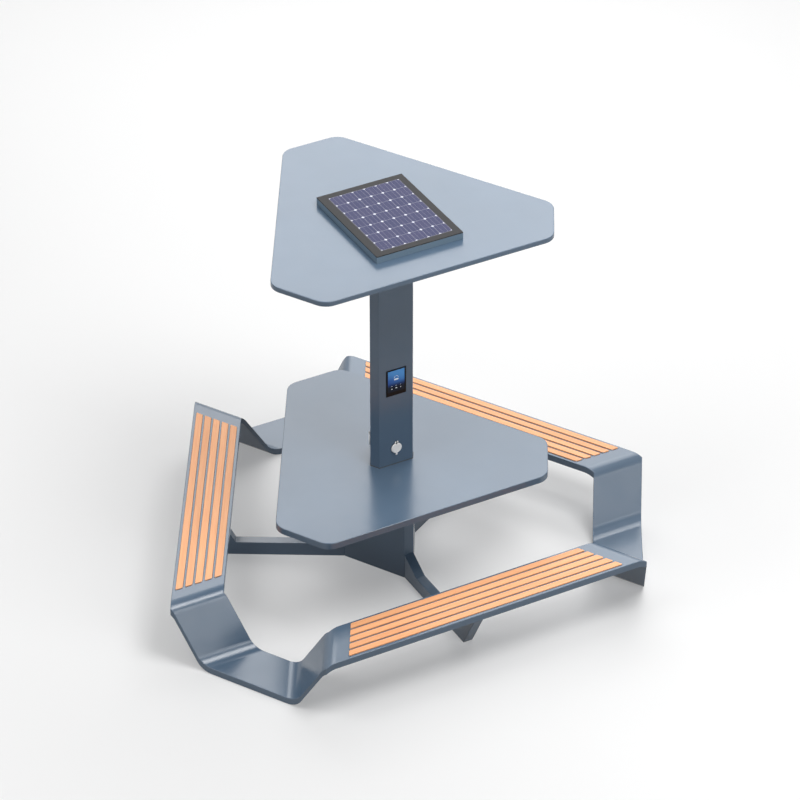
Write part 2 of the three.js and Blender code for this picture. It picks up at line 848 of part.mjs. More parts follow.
function solarHousing() {
  const body = slab(solarLines, canopyHeight + fitGap, housingTop, solarCornerRadius, smallCornerSteps);
  const deckFoot = housingTop - solarSkin;
  const hollow = slab(moved(solarLines, -solarWall), canopyHeight - overrun, deckFoot);
  const hole = slab(moved(junctionLines, junctionGap), deckFoot - overrun, housingTop + overrun);
  return cut(body, hollow, hole);
}

function solarBezel() {
  const body = slab(solarLines, bezelFoot, solarTop, solarCornerRadius, smallCornerSteps);
  return cut(body, slab(fieldLines, bezelFoot - overrun, solarTop + overrun));
}

const junctionTop = bezelFoot - fitGap;
const junctionFoot = junctionTop - junctionDepth;
const controllerTop = upperDeckHeight + rackDeck + fitGap + controllerHeight;

function solarCable() {
  const low = controllerTop + fitGap;
  const high = junctionFoot - fitGap;
  const middle = (low + high) / 2;
  const path = new THREE.CatmullRomCurve3([
    at(cableX, cableY, high),
    at(cableX, cableY, (high + middle) / 2),
    at(cableX, cableY + cableSway, middle),
    at(cableX, cableY, (low + middle) / 2),
    at(cableX, cableY, low),
  ]);
  const ring = new THREE.Shape(
    Array.from({ length: cableSides }, (_, i) => {
      const angle = (4 * right * i * radians) / cableSides;
      return new THREE.Vector2(cableRadius * Math.cos(angle), cableRadius * Math.sin(angle));
    }),
  );
  return new THREE.ExtrudeGeometry(ring, { steps: cableSteps, extrudePath: path, bevelEnabled: false });
}

// Display: a case through the column's front face, with a glass set into its flange
const flangeNear = faceY - fitGap - displayFlange;
const glassFoot = flangeNear + glassDepth + fitGap;

function displayCase() {
  const low = displayMiddle - displayHeight / 2;
  const high = displayMiddle + displayHeight / 2;
  const halfBox = displayBoxHeight / 2;
  const body = join(
    box(-displayWidth / 2, displayWidth / 2, flangeNear, faceY - fitGap, low, high),
    box(
      -displayBoxWidth / 2, displayBoxWidth / 2, faceY - 2 * fitGap, faceY + displayBoxDepth,
      displayMiddle - halfBox, displayMiddle + halfBox,
    ),
  );
  const side = displayWidth / 2 - displayLip;
  return cut(body, box(-side, side, flangeNear - overrun, glassFoot, low + displayLip, high - displayLip));
}

function displayGlass() {
  const side = displayWidth / 2 - displayLip - fitGap;
  const half = displayHeight / 2 - displayLip - fitGap;
  const near = glassFoot - fitGap - glassDepth;
  return box(-side, side, near, glassFoot - fitGap, displayMiddle - half, displayMiddle + half);
}

// Ring modules, slats, arms and sockets repeat round the column
const trayBody = cut(ringTray, ringHollow, ...slots);
const capPinEnd = earInner + earWidth;
Object.entries(seatAngles).forEach(([name, angle]) => {
  const side = new THREE.Group();
  side.rotation.z = (angle - seatAngles.front) * radians;
  bench.add(side);
  addPiece(side, `seat_frame_${name}`, trayBody, paint);
  addPiece(side, `seat_underside_${name}`, ringUnderside, plain);
  addPiece(side, `slat_ladder_${name}`, ladder(), galvanised);
  slatIndexes.forEach((i) => addPiece(side, `slat_${name}_${i + 1}`, slat(i), woodPlastic));
  addPiece(side, `arm_${name}`, cut(armBody(0), armBody(armWall)), plain);
  addPiece(side, `socket_body_${name}`, socketBody(), capGrey);
  addPiece(side, `socket_cap_${name}`, socketCap(), capGrey);
  addPiece(side, `socket_pin_${name}`, acrossHinge(capPinRadius, -capPinEnd, capPinEnd), steel);
});

addPiece(bench, 'table_top', tableTop(), paint);
addPiece(bench, 'table_underside', tableUndersidePlate(), plain);
const tableStarFoot = tableBottom + tableUnderside + fitGap;
const tableStarTop = tableHeight - tableSkin - fitGap;
const tableStarReach = tableShortReach - tableStarMargin;
const tableStar = star(hubLines, tableStarReach, tableStarWidth, tableBottom, tableStarFoot, tableStarTop);
addPiece(bench, 'table_bracket', tableStar, galvanised);

addPiece(bench, 'canopy_top', canopyTop(), paint);
addPiece(bench, 'canopy_underside', canopyUndersidePlate(), plain);
const canopyStarReach = canopyShortReach - canopyStarMargin;
const canopyHub = moved(columnLines, canopyHubMargin);
const canopyStarFoot = canopyBottom + canopyUnderside + fitGap;
const canopyStar = star(
  canopyHub, canopyStarReach, canopyStarWidth, canopyStarFoot, canopyStarFoot, canopySkinUnder - fitGap,
);
addPiece(bench, 'canopy_bracket', canopyStar, galvanised);
addPiece(bench, 'column', column(), paint);

addPiece(bench, 'pedestal', pedestalShell(), plain);
addPiece(bench, 'pedestal_top_plate', pedestalTopPlateBody(), galvanised);
addPiece(bench, 'pedestal_base_plate', pedestalBasePlateBody(), galvanised);
addPiece(bench, 'service_door', serviceDoor(), plain);
addPiece(bench, 'door_frame', doorFrame(), galvanised);
const doorPin = upright(
  doorPinRadius, doorHingeX, doorHingeY, doorMiddle - hingeHalf, doorMiddle + hingeHalf,
);
addPiece(bench, 'door_hinge_pin', doorPin, steel);
addPiece(bench, 'door_lock', doorLock(), steel);

addPiece(bench, 'equipment_rack', rack(), galvanised);
const batteryFoot = lowerDeckHeight + rackDeck + fitGap;
const batteryLines = rectangle(
  -batteryWidth / 2, batteryWidth / 2, -rackContentsBack, batteryDepth - rackContentsBack,
);
const batteryTop = batteryFoot + batteryHeight;
const batteryBody = slab(batteryLines, batteryFoot, batteryTop, batteryCornerRadius, smallCornerSteps);
addPiece(bench, 'battery', batteryBody, batteryGrey);
const controllerBody = box(
  -controllerWidth / 2, controllerWidth / 2, -rackContentsBack, controllerDepth - rackContentsBack,
  upperDeckHeight + rackDeck + fitGap, controllerTop,
);
addPiece(bench, 'charge_controller', controllerBody, controllerGrey);

addPiece(bench, 'solar_housing', solarHousing(), paint);
addPiece(bench, 'solar_bezel', solarBezel(), bezelBlack);
const laminate = slab(moved(fieldLines, -fitGap), bezelFoot, solarTop - laminateSink);
addPiece(bench, 'solar_laminate', laminate, cellBlue);
addPiece(bench, 'junction_box', slab(junctionLines, junctionFoot, junctionTop), blackPlastic);
addPiece(bench, 'solar_cable', solarCable(), blackPlastic);

addPiece(bench, 'display_case', displayCase(), blackPlastic);
addPiece(bench, 'display_glass', displayGlass(), screenBlue);

export default bench;
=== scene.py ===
import json
import math

import bmesh
import bpy
from mathutils import Matrix, Vector


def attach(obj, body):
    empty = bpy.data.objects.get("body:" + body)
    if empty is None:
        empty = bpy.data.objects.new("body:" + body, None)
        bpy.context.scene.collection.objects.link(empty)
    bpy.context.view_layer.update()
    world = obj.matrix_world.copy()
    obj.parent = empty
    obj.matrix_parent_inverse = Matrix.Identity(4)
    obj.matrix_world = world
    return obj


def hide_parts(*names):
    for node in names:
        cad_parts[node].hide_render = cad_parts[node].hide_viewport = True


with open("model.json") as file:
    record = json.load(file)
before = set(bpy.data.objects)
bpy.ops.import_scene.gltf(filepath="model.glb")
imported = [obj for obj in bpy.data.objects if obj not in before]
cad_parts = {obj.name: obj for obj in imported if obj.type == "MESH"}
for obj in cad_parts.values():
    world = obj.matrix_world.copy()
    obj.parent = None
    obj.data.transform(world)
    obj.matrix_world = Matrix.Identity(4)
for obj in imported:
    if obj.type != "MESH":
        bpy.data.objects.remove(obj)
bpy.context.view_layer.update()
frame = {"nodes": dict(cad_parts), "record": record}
nodes = frame["nodes"]
print("frame loaded,", len(nodes), "nodes")

# The front third, with the display on it, faces -Y; the other two thirds are the same turned
seatTurns = {"front": 0.0, "right": math.radians(120), "left": math.radians(-120)}


# Shader node helpers; a value is a plain number or colour, or another node's output

def feed(tree, socket, value):
    if isinstance(value, bpy.types.NodeSocket):
        tree.links.new(value, socket)
    else:
        socket.default_value = value


def startFinish(name):
    finish = bpy.data.materials.new(name)
    finish.use_nodes = True
    tree = finish.node_tree
    where = tree.nodes.new("ShaderNodeTexCoord")
    return finish, tree, tree.nodes["Principled BSDF"], where


def setShader(shader, settings):
    for label, value in settings.items():
        shader.inputs[label].default_value = value


def calc(tree, operation, *values):
    node = tree.nodes.new("ShaderNodeMath")
    node.operation = operation
    for socket, value in zip(node.inputs, values):
        feed(tree, socket, value)
    return node.outputs[0]


def remap(tree, value, low, high, newLow, newHigh, kind="LINEAR"):
    node = tree.nodes.new("ShaderNodeMapRange")
    node.interpolation_type = kind
    for socket, part in zip(node.inputs, (value, low, high, newLow, newHigh)):
        feed(tree, socket, part)
    return node.outputs[0]


def softStep(tree, value, low, high):
    return remap(tree, value, low, high, 0.0, 1.0, "SMOOTHSTEP")


def blendColours(tree, share, first, second):
    node = tree.nodes.new("ShaderNodeMix")
    node.data_type = "RGBA"
    feed(tree, node.inputs[0], share)
    feed(tree, node.inputs[6], (*first, 1.0) if isinstance(first, tuple) else first)
    feed(tree, node.inputs[7], (*second, 1.0) if isinstance(second, tuple) else second)
    return node.outputs[2]


# The scale is one number, or three for a noise that is drawn out along an axis
def noiseOf(tree, vector, scale, detail):
    if isinstance(scale, tuple):
        stretched = tree.nodes.new("ShaderNodeMapping")
        stretched.inputs["Scale"].default_value = scale
        tree.links.new(vector, stretched.inputs["Vector"])
        vector, scale = stretched.outputs[0], 1.0
    node = tree.nodes.new("ShaderNodeTexNoise")
    node.inputs["Scale"].default_value = scale
    node.inputs["Detail"].default_value = detail
    tree.links.new(vector, node.inputs["Vector"])
    return node.outputs["Fac"]


def cellsOf(tree, vector, scale):
    node = tree.nodes.new("ShaderNodeTexVoronoi")
    node.inputs["Scale"].default_value = scale
    tree.links.new(vector, node.inputs["Vector"])
    return node.outputs["Color"]


# The same number always gives the same value between nothing and one
def valueOf(tree, number):
    node = tree.nodes.new("ShaderNodeTexWhiteNoise")
    node.noise_dimensions = "1D"
    tree.links.new(number, node.inputs["W"])
    return node.outputs[0]


def axesOf(tree, vector):
    node = tree.nodes.new("ShaderNodeSeparateXYZ")
    tree.links.new(vector, node.inputs[0])
    return node.outputs


# Noise stays near its middle, so only this span of it is spread over the range that is wanted
noiseSpan = (0.3, 0.7)


def spreadNoise(tree, noise, low, high):
    return remap(tree, noise, *noiseSpan, low, high)


def average(tree, first, second):
    return calc(tree, "MULTIPLY_ADD", first, 0.5, calc(tree, "MULTIPLY", second, 0.5))


# One where the value lies between the two, and nothing elsewhere
def between(tree, value, low, high):
    above = calc(tree, "GREATER_THAN", value, low)
    return calc(tree, "MULTIPLY", above, calc(tree, "LESS_THAN", value, high))


def roughen(tree, shader, height, distance, strength):
    node = tree.nodes.new("ShaderNodeBump")
    node.inputs["Strength"].default_value = strength
    node.inputs["Distance"].default_value = distance
    tree.links.new(height, node.inputs["Height"])
    tree.links.new(node.outputs[0], shader.inputs["Normal"])


def shaded(colour, factor):
    return tuple(part * factor for part in colour)


# Finishes; a noise is its scale and its detail, and a bump is its depth and its strength

paintLook = {
    "colour": (0.086, 0.135, 0.200),
    # The next factor darkens a copy of the same paint: painted shade for the undersides, arms, pedestal and
    # service door
    "paintedShadeFactor": 0.86,
    # The next colour is the paint lightened: painted light on the sides of the solar housing
    "litPanelSides": (0.141, 0.205, 0.265),
    "drift": 0.05,
    "cloud": (1.7, 3.0),
    "rub": (9.0, 4.0),
    "rubSpan": (0.35, 0.65),
    "roughness": (0.21, 0.26),
    "peel": (420.0, 1.0),
    "peelBump": (0.00012, 0.5),
    "sheen": {"IOR": 1.5, "Specular IOR Level": 0.55},
}


def powderCoat(name, colour):
    look = paintLook
    finish, tree, shader, where = startFinish(name)
    place = where.outputs["Object"]
    cloud = spreadNoise(tree, noiseOf(tree, place, *look["cloud"]), 0.0, 1.0)
    drift = look["drift"]
    tone = blendColours(tree, cloud, shaded(colour, 1 - drift), shaded(colour, 1 + drift))
    tree.links.new(tone, shader.inputs["Base Color"])
    rubbed = noiseOf(tree, place, *look["rub"])
    worn = remap(tree, rubbed, *look["rubSpan"], *look["roughness"])
    tree.links.new(worn, shader.inputs["Roughness"])
    roughen(tree, shader, noiseOf(tree, place, *look["peel"]), *look["peelBump"])
    setShader(shader, look["sheen"])
    return finish


# The slats' UV map runs along the board in U and across it in V, both in metres
boardLook = {
    "pale": (0.95, 0.475, 0.225),
    "deep": (0.86, 0.365, 0.155),
    "pitch": 0.06,
    "toneSpread": 0.06,
    "streaks": ((2.2, 150.0, 1.0), 4.0),
    "fibres": ((26.0, 900.0, 1.0), 3.0),
    "fibreShare": 0.35,
    "grainSpan": (0.35, 0.65),
    "fibreBump": (0.0004, 0.35),
    "roughness": (0.46, 0.58),
}


def boardFinish():
    look = boardLook
    finish, tree, shader, where = startFinish("slatBoards")
    along = where.outputs["UV"]
    streaks = noiseOf(tree, along, *look["streaks"])
    fibres = noiseOf(tree, along, *look["fibres"])
    number = calc(tree, "FLOOR", calc(tree, "DIVIDE", axesOf(tree, along)[1], look["pitch"]))
    share = look["fibreShare"]
    mixed = calc(tree, "MULTIPLY_ADD", fibres, share, calc(tree, "MULTIPLY", streaks, 1 - share))
    depth = remap(tree, mixed, *look["grainSpan"], 0.0, 1.0)
    grain = blendColours(tree, depth, look["pale"], look["deep"])
    tone = tree.nodes.new("ShaderNodeHueSaturation")
    spread = look["toneSpread"]
    own = remap(tree, valueOf(tree, number), 0.0, 1.0, 1 - spread, 1 + spread)
    tree.links.new(own, tone.inputs["Value"])
    tree.links.new(grain, tone.inputs["Color"])
    tree.links.new(tone.outputs[0], shader.inputs["Base Color"])
    tree.links.new(spreadNoise(tree, streaks, *look["roughness"]), shader.inputs["Roughness"])
    roughen(tree, shader, fibres, *look["fibreBump"])
    return finish


zincLook = {
    "dark": (0.33, 0.35, 0.37),
    "light": (0.60, 0.62, 0.64),
    "spangle": 55.0,
    "cloud": (14.0, 4.0),
    "roughness": (0.34, 0.52),
    "bump": (0.0001, 0.2),
}


def zincFinish():
    look = zincLook
    finish, tree, shader, where = startFinish("galvanisedSheet")
    place = where.outputs["Object"]
    flakes = cellsOf(tree, place, look["spangle"])
    cloud = noiseOf(tree, place, *look["cloud"])
    tone = blendColours(tree, average(tree, cloud, flakes), look["dark"], look["light"])
    tree.links.new(tone, shader.inputs["Base Color"])
    tree.links.new(remap(tree, flakes, 0.0, 1.0, *look["roughness"]), shader.inputs["Roughness"])
    roughen(tree, shader, flakes, *look["bump"])
    setShader(shader, {"Metallic": 1.0})
    return finish


steelLook = {
    "dark": (0.42, 0.43, 0.44),
    "light": (0.66, 0.67, 0.68),
    "lines": ((90.0, 90.0, 2600.0), 2.0),
    "roughness": (0.22, 0.36),
}


def turnedSteel():
    look = steelLook
    finish, tree, shader, where = startFinish("turnedStainless")
    lines = noiseOf(tree, where.outputs["Object"], *look["lines"])
    tone = blendColours(tree, lines, look["dark"], look["light"])
    tree.links.new(tone, shader.inputs["Base Color"])
    tree.links.new(spreadNoise(tree, lines, *look["roughness"]), shader.inputs["Roughness"])
    setShader(shader, {"Metallic": 1.0})
    return finish


plasticLook = {
    "cloud": (11.0, 3.0),
    "drift": (0.93, 1.05),
    "grainDetail": 2.0,
    "roughnessDrift": 0.05,
    "bump": (0.00015, 0.4),
}


# Each plastic has its own colour, roughness, fineness of grain, and level of reflection
def mouldedPlastic(name, colour, roughness, grainScale, level=0.5):
    look = plasticLook
    finish, tree, shader, where = startFinish(name)
    place = where.outputs["Object"]
    cloud = noiseOf(tree, place, *look["cloud"])
    dark, light = (shaded(colour, factor) for factor in look["drift"])
    tree.links.new(blendColours(tree, cloud, dark, light), shader.inputs["Base Color"])
    grain = noiseOf(tree, place, grainScale, look["grainDetail"])
    drift = look["roughnessDrift"]
    worn = spreadNoise(tree, grain, roughness - drift, roughness + drift)
    tree.links.new(worn, shader.inputs["Roughness"])
    roughen(tree, shader, grain, *look["bump"])
    setShader(shader, {"Specular IOR Level": level})
    return finish


bezelLook = {
    "dark": (0.019, 0.019, 0.020),
    "light": (0.031, 0.031, 0.033),
    "lines": ((900.0, 14.0, 60.0), 2.0),
    "roughness": (0.30, 0.38),
    "sheen": {"Specular IOR Level": 0.06},
}


def anodised():
    look = bezelLook
    finish, tree, shader, where = startFinish("anodisedBezel")
    lines = noiseOf(tree, where.outputs["Object"], *look["lines"])
    tone = blendColours(tree, lines, look["dark"], look["light"])
    tree.links.new(tone, shader.inputs["Base Color"])
    tree.links.new(spreadNoise(tree, lines, *look["roughness"]), shader.inputs["Roughness"])
    setShader(shader, look["sheen"])
    return finish


# The panel's cells are drawn from the field's corner, 6 across and 7 along.
# Each has cut corners, fine fingers and two bus bars.
cellLook = {
    "start": (-0.2544, -0.3947),
    "pitch": (0.08267, 0.09939),
    "count": (6, 7),
    "cutCorner": 0.0105,
    "gap": 0.0011,
    "busShare": 0.19,
    "busHalf": 0.0006,
    "finger": 0.0019,
    "fingerShare": 0.12,
    "tones": {"finger": 0.10, "bus": 0.55, "line": 0.75},
    "rowStep": 9.0,
    "cloud": (23.0, 2.0),
    "dust": (6.0, 3.0),
    "blue": (0.036, 0.042, 0.110),
    "violet": (0.052, 0.052, 0.122),
    "line": (0.36, 0.36, 0.44),
    "backsheet": (0.66, 0.68, 0.76),
    "border": (0.075, 0.076, 0.105),
    "roughness": (0.10, 0.17),
    "sheen": {"IOR": 1.5, "Specular IOR Level": 0.05},
}


def cellFinish():
    look = cellLook
    finish, tree, shader, where = startFinish("solarCells")
    place = where.outputs["Object"]
    axes = axesOf(tree, place)
    fromMiddle = []
    numbers = []
    inField = 1.0
    for axis in range(2):
        pitch = look["pitch"][axis]
        fromStart = calc(tree, "SUBTRACT", axes[axis], look["start"][axis])
        steps = calc(tree, "DIVIDE", fromStart, pitch)
        share = calc(tree, "SUBTRACT", calc(tree, "FRACT", steps), 0.5)
        fromMiddle.append(calc(tree, "MULTIPLY", calc(tree, "ABSOLUTE", share), pitch))
        numbers.append(calc(tree, "FLOOR", steps))
        inside = between(tree, steps, 0.0, float(look["count"][axis]))
        inField = calc(tree, "MULTIPLY", inField, inside)
    halfX, halfY = (part / 2 for part in look["pitch"])
    lineX = calc(tree, "GREATER_THAN", fromMiddle[0], halfX - look["gap"])
    lineY = calc(tree, "GREATER_THAN", fromMiddle[1], halfY - look["gap"])
    lines = calc(tree, "MAXIMUM", lineX, lineY)
    reach = calc(tree, "ADD", fromMiddle[0], fromMiddle[1])
    corners = calc(tree, "GREATER_THAN", reach, halfX + halfY - look["cutCorner"])
    busPlace = look["busShare"] * look["pitch"][0]
    offBus = calc(tree, "ABSOLUTE", calc(tree, "SUBTRACT", fromMiddle[0], busPlace))
    bus = calc(tree, "LESS_THAN", offBus, look["busHalf"])
    finger = calc(tree, "FRACT", calc(tree, "DIVIDE", axes[1], look["finger"]))
    onFinger = calc(tree, "LESS_THAN", finger, look["fingerShare"])
    number = calc(tree, "MULTIPLY_ADD", numbers[1], look["rowStep"], numbers[0])
    mixed = average(tree, noiseOf(tree, place, *look["cloud"]), valueOf(tree, number))
    cell = blendColours(tree, mixed, look["blue"], look["violet"])
    for kind, mask in (("finger", onFinger), ("bus", bus), ("line", lines)):
        share = calc(tree, "MULTIPLY", mask, look["tones"][kind])
        cell = blendColours(tree, share, cell, look["line"])
    cell = blendColours(tree, corners, cell, look["backsheet"])
    cell = blendColours(tree, inField, look["border"], cell)
    tree.links.new(cell, shader.inputs["Base Color"])
    dust = noiseOf(tree, place, *look["dust"])
    tree.links.new(spreadNoise(tree, dust, *look["roughness"]), shader.inputs["Roughness"])
    setShader(shader, look["sheen"])
    return finish


# The screen's lit area lies inside the black glass, and its picture is a plain sky over a dark ground
screenLook = {
    "left": -0.0600,
    "right": 0.0600,
    "low": 1.3700,
    "high": 1.5310,
    "sky": (0.062, 0.215, 0.48),
    "deep": (0.018, 0.060, 0.25),
    "night": (0.004, 0.007, 0.016),
    "glass": (0.004, 0.0045, 0.006),
    "waves": ((9.0, 9.0, 17.0), 1.0),
    "waveShare": 0.35,
    "tilt": 0.16,
    "drop": 0.25,
    "skySteps": (0.25, 0.95),
    "groundSteps": (0.20, 0.52),
    "smears": (60.0, 2.0),
    "roughness": (0.07, 0.12),
    "sheen": {"Emission Strength": 0.40, "Specular IOR Level": 0.12},
}


def screenFinish():
    look = screenLook
    finish, tree, shader, where = startFinish("screenGlass")
    place = where.outputs["Object"]
    across, _, up = axesOf(tree, place)
    x = remap(tree, across, look["left"], look["right"], 0.0, 1.0)
    z = remap(tree, up, look["low"], look["high"], 0.0, 1.0)
    waves = noiseOf(tree, place, *look["waves"])
    slope = calc(tree, "MULTIPLY_ADD", x, look["tilt"], calc(tree, "SUBTRACT", z, look["drop"]))
    height = calc(tree, "MULTIPLY_ADD", waves, look["waveShare"], slope)
    sky = blendColours(tree, softStep(tree, height, *look["skySteps"]), look["deep"], look["sky"])
    picture = blendColours(tree, softStep(tree, z, *look["groundSteps"]), look["night"], sky)
    insideX = between(tree, across, look["left"], look["right"])
    lit = calc(tree, "MULTIPLY", insideX, between(tree, up, look["low"], look["high"]))
    tree.links.new(blendColours(tree, lit, look["glass"], picture), shader.inputs["Base Color"])
    tree.links.new(blendColours(tree, lit, (0.0, 0.0, 0.0), picture), shader.inputs["Emission Color"])
    smears = noiseOf(tree, place, *look["smears"])
    tree.links.new(spreadNoise(tree, smears, *look["roughness"]), shader.inputs["Roughness"])
    setShader(shader, look["sheen"])
    return finish


signTone = {
    "dim": (0.62, 0.72, 0.80),
    "bright": (0.86, 0.92, 0.96),
    "cloud": (90.0, 1.0),
    "sheen": {"Emission Strength": 0.15, "Roughness": 0.3},
}


def iconFinish():
    look = signTone
    finish, tree, shader, where = startFinish("screenIcons")
    cloud = noiseOf(tree, where.outputs["Object"], *look["cloud"])
    tone = blendColours(tree, cloud, look["dim"], look["bright"])
    tree.links.new(tone, shader.inputs["Base Color"])
    tree.links.new(tone, shader.inputs["Emission Color"])
    setShader(shader, look["sheen"])
    return finish


finishes = {
    "painted_steel": powderCoat("blueGreyPaint", paintLook["colour"]),
    # The darker copy is painted shade: the same paint darkened for the undersides, arms, pedestal and service
    # door
    "dark_painted_steel": powderCoat("blueGreyPaintShaded", shaded(paintLook["colour"], paintLook["paintedShadeFactor"])),
    "galvanised_steel": zincFinish(),
    "slat_wood": boardFinish(),
    "black_aluminium": anodised(),
    "solar_glass": cellFinish(),
    "black_plastic": mouldedPlastic("blackCase", (0.010, 0.012, 0.015), 0.42, 700.0, 0.15),
    "cable_rubber": mouldedPlastic("cableJacket", (0.014, 0.014, 0.014), 0.62, 500.0, 0.35),
    "screen_glass": screenFinish(),
    "socket_plastic": mouldedPlastic("capPlastic", (0.95, 0.93, 0.91), 0.42, 650.0),
    "bare_steel": turnedSteel(),
    "battery_case": mouldedPlastic("batteryCase", (0.040, 0.046, 0.053), 0.55, 300.0),
    "controller_case": mouldedPlastic("controllerCase", (0.40, 0.42, 0.44), 0.45, 900.0),
}
# The solar housing gets the paint lightened, as painted light on its sides
litPanelSides = powderCoat("litPanelSidePaint", paintLook["litPanelSides"])
# The socket bodies' dark plastic is partly their own colour and partly painted shade, darkening the ring
# round each cap and the notch between its ears
socketBodyDarkAndShade = mouldedPlastic("socketInsertDarkAndShade", (0.030, 0.033, 0.037), 0.45, 650.0, 0.3)
sealFinish = mouldedPlastic("sealBead", (0.020, 0.028, 0.038), 0.50, 400.0, 0.4)
signFinish = iconFinish()
print("finishes made")


# Mesh helpers

slotOf = {row["node"]: row["material_slot"] for row in frame["record"]["subparts"]}
bodyOf = {node: body for body, members in frame["record"]["behaviour"]["bodies"].items() for node in members}


def settle(piece, body, replaced=()):
    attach(piece, body)
    if replaced:
        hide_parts(*replaced)


def addObject(name, data):
    piece = bpy.data.objects.new(name, data)
    bpy.context.scene.collection.objects.link(piece)
    return piece


def smoothFaces(work):
    for face in work.faces:
        face.smooth = True


def meshFrom(name, work):
    mesh = bpy.data.meshes.new(name)
    work.to_mesh(mesh)
    work.free()
    return mesh


# Where the seat modules meet in the middle of the feet: the angles of the front one's end planes, how far
# these stand from the middle, how wide the joint is, and how near to such a plane a part counts as in it
jointLook = {
    "angles": (60.0, 120.0),
    "reach": -0.0003,
    "width": 0.0006,
    "edgeNear": 0.0004,
    "faceNear": 0.0002,
}


# How far the farthest corner of an edge or face stands from the end plane at an angle
def offSeam(part, angle):
    direction = Vector((math.cos(angle), math.sin(angle), 0.0))
    return max(abs(vertex.co.dot(direction) - jointLook["reach"]) for vertex in part.verts)


def atSeam(edge, seams):
    return any(offSeam(edge, angle) < jointLook["edgeNear"] for angle in seams)


def finishOf(node):
    # The housing's lighter paint is painted light on its sides
    if node == "solar_housing":
        return litPanelSides
    # The socket bodies' dark plastic is partly their own colour, partly painted shade round the caps
    if node.startswith("socket_body"):
        return socketBodyDarkAndShade
    return finishes[slotOf[node]]


# What counts as one point and as one plane when a node's loose triangles are joined, and as a sharp edge
joining = {"distance": 0.000004, "flat": math.radians(0.4), "sharp": math.radians(26.0), "faceWeight": 60}


# A finished copy of a rigid node: joined triangles, smooth bends and rounded edges
def roundedCopy(node, width, segments, seams):
    mesh = nodes[node].data.copy()
    mesh.name = node + "_finished"
    work = bmesh.new()
    work.from_mesh(mesh)
    bmesh.ops.remove_doubles(work, verts=work.verts, dist=joining["distance"])
    bmesh.ops.dissolve_limit(work, angle_limit=joining["flat"], verts=work.verts, edges=work.edges)
    weights = work.edges.layers.float.new("bevel_weight_edge")
    smoothFaces(work)
    for edge in work.edges:
        if edge.is_manifold and edge.calc_face_angle(0.0) > joining["sharp"]:
            rounded = width > 0.0 and not atSeam(edge, seams)
            edge.smooth = rounded
            edge[weights] = 1.0 if rounded else 0.0
    work.to_mesh(mesh)
    work.free()
    if mesh.attributes.get("custom_normal"):
        mesh.attributes.remove(mesh.attributes["custom_normal"])
    mesh.materials.clear()
    mesh.materials.append(finishOf(node))
    piece = addObject(node + "_finished", mesh)
    if width:
        rounding = piece.modifiers.new("edgeRounding", "BEVEL")
        rounding.width = width
        rounding.segments = segments
        rounding.limit_method = "WEIGHT"
        shading = piece.modifiers.new("evenShading", "WEIGHTED_NORMAL")
        shading.keep_sharp = True
        shading.weight = joining["faceWeight"]
    settle(piece, bodyOf[node], [node])


# Width and segments of each rigid node's edge rounding; the seat frames skip the seams in their feet
edgeRounding = {
    "seat_frame": (0.0018, 3),
    "seat_underside": (0.0008, 1),
    "slat_ladder": (0.0008, 1),
    "arm": (0.0030, 3),
    "table_top": (0.0022, 3),
    "table_underside": (0.0008, 1),
    "table_bracket": (0.0008, 1),
    "canopy_top": (0.0022, 3),
    "canopy_underside": (0.0006, 1),
    "canopy_bracket": (0.0008, 1),
    "column": (0.0012, 2),
    "pedestal_top_plate": (0.0008, 1),
    "pedestal_base_plate": (0.0008, 1),
    "pedestal": (0.0012, 2),
    "service_door": (0.0008, 2),
    "door_frame": (0.0005, 1),
    "door_hinge_pin": (0.0003, 1),
    "door_lock": (0.0005, 2),
    "equipment_rack": (0.0006, 1),
    "battery": (0.0020, 3),
    "charge_controller": (0.0015, 2),
    "solar_housing": (0.0012, 2),
    "solar_bezel": (0.0006, 2),
    "junction_box": (0.0012, 2),
    "solar_cable": (0.0, 1),
    "display_case": (0.0006, 2),
    "socket_body": (0.0005, 2),
    "socket_cap": (0.0006, 2),
    "socket_pin": (0.0002, 1),
}


def roundingOf(node):
    known = [stem for stem in edgeRounding if node.startswith(stem)]
    return edgeRounding[max(known, key=len)]


def seamsOf(node):
    if not node.startswith("seat_frame"):
        return ()
    turn = seatTurns[node.rsplit("_", 1)[1]]
    return [turn + math.radians(angle) for angle in jointLook["angles"]]


for node in sorted(nodes):
    if node.startswith("slat_") and not node.startswith("slat_ladder"):
        continue
    if node in ("solar_laminate", "display_glass"):
        nodes[node].data.materials.clear()
        nodes[node].data.materials.append(finishes[slotOf[node]])
        continue
    roundedCopy(node, *roundingOf(node), seamsOf(node))


# The joint in the middle of a foot is filled flush and painted over. The filler is the frame's end faces, the
# same faces one joint's width further on, and walls between their rims
def footJoint(seat, turn):
    angle = turn + math.radians(jointLook["angles"][0])
    across = Vector((math.cos(angle), math.sin(angle), 0.0)) * jointLook["width"]
    source = bmesh.new()
    source.from_mesh(nodes["seat_frame_" + seat].data)
    bmesh.ops.remove_doubles(source, verts=source.verts, dist=joining["distance"])
    ends = [face for face in source.faces if offSeam(face, angle) <= jointLook["faceNear"]]
    work = bmesh.new()
    pairs = {}
    for face in ends:
        for vertex in face.verts:
            if vertex not in pairs:
                pairs[vertex] = (work.verts.new(vertex.co), work.verts.new(vertex.co + across))
        for side in range(2):
            work.faces.new([pairs[vertex][side] for vertex in face.verts])
    for edge in source.edges:
        if sum(face in ends for face in edge.link_faces) == 1:
            first, second = (pairs[vertex] for vertex in edge.verts)
            work.faces.new((first[0], second[0], second[1], first[1]))
    source.free()
    bmesh.ops.recalc_face_normals(work, faces=work.faces)
    mesh = meshFrom("foot_joint_" + seat, work)
    mesh.materials.append(finishes["painted_steel"])
    settle(addObject("foot_joint_" + seat, mesh), "bench")


for seat, turn in seatTurns.items():
    footJoint(seat, turn)
print("rigid pieces finished")


# Geometry Nodes helpers

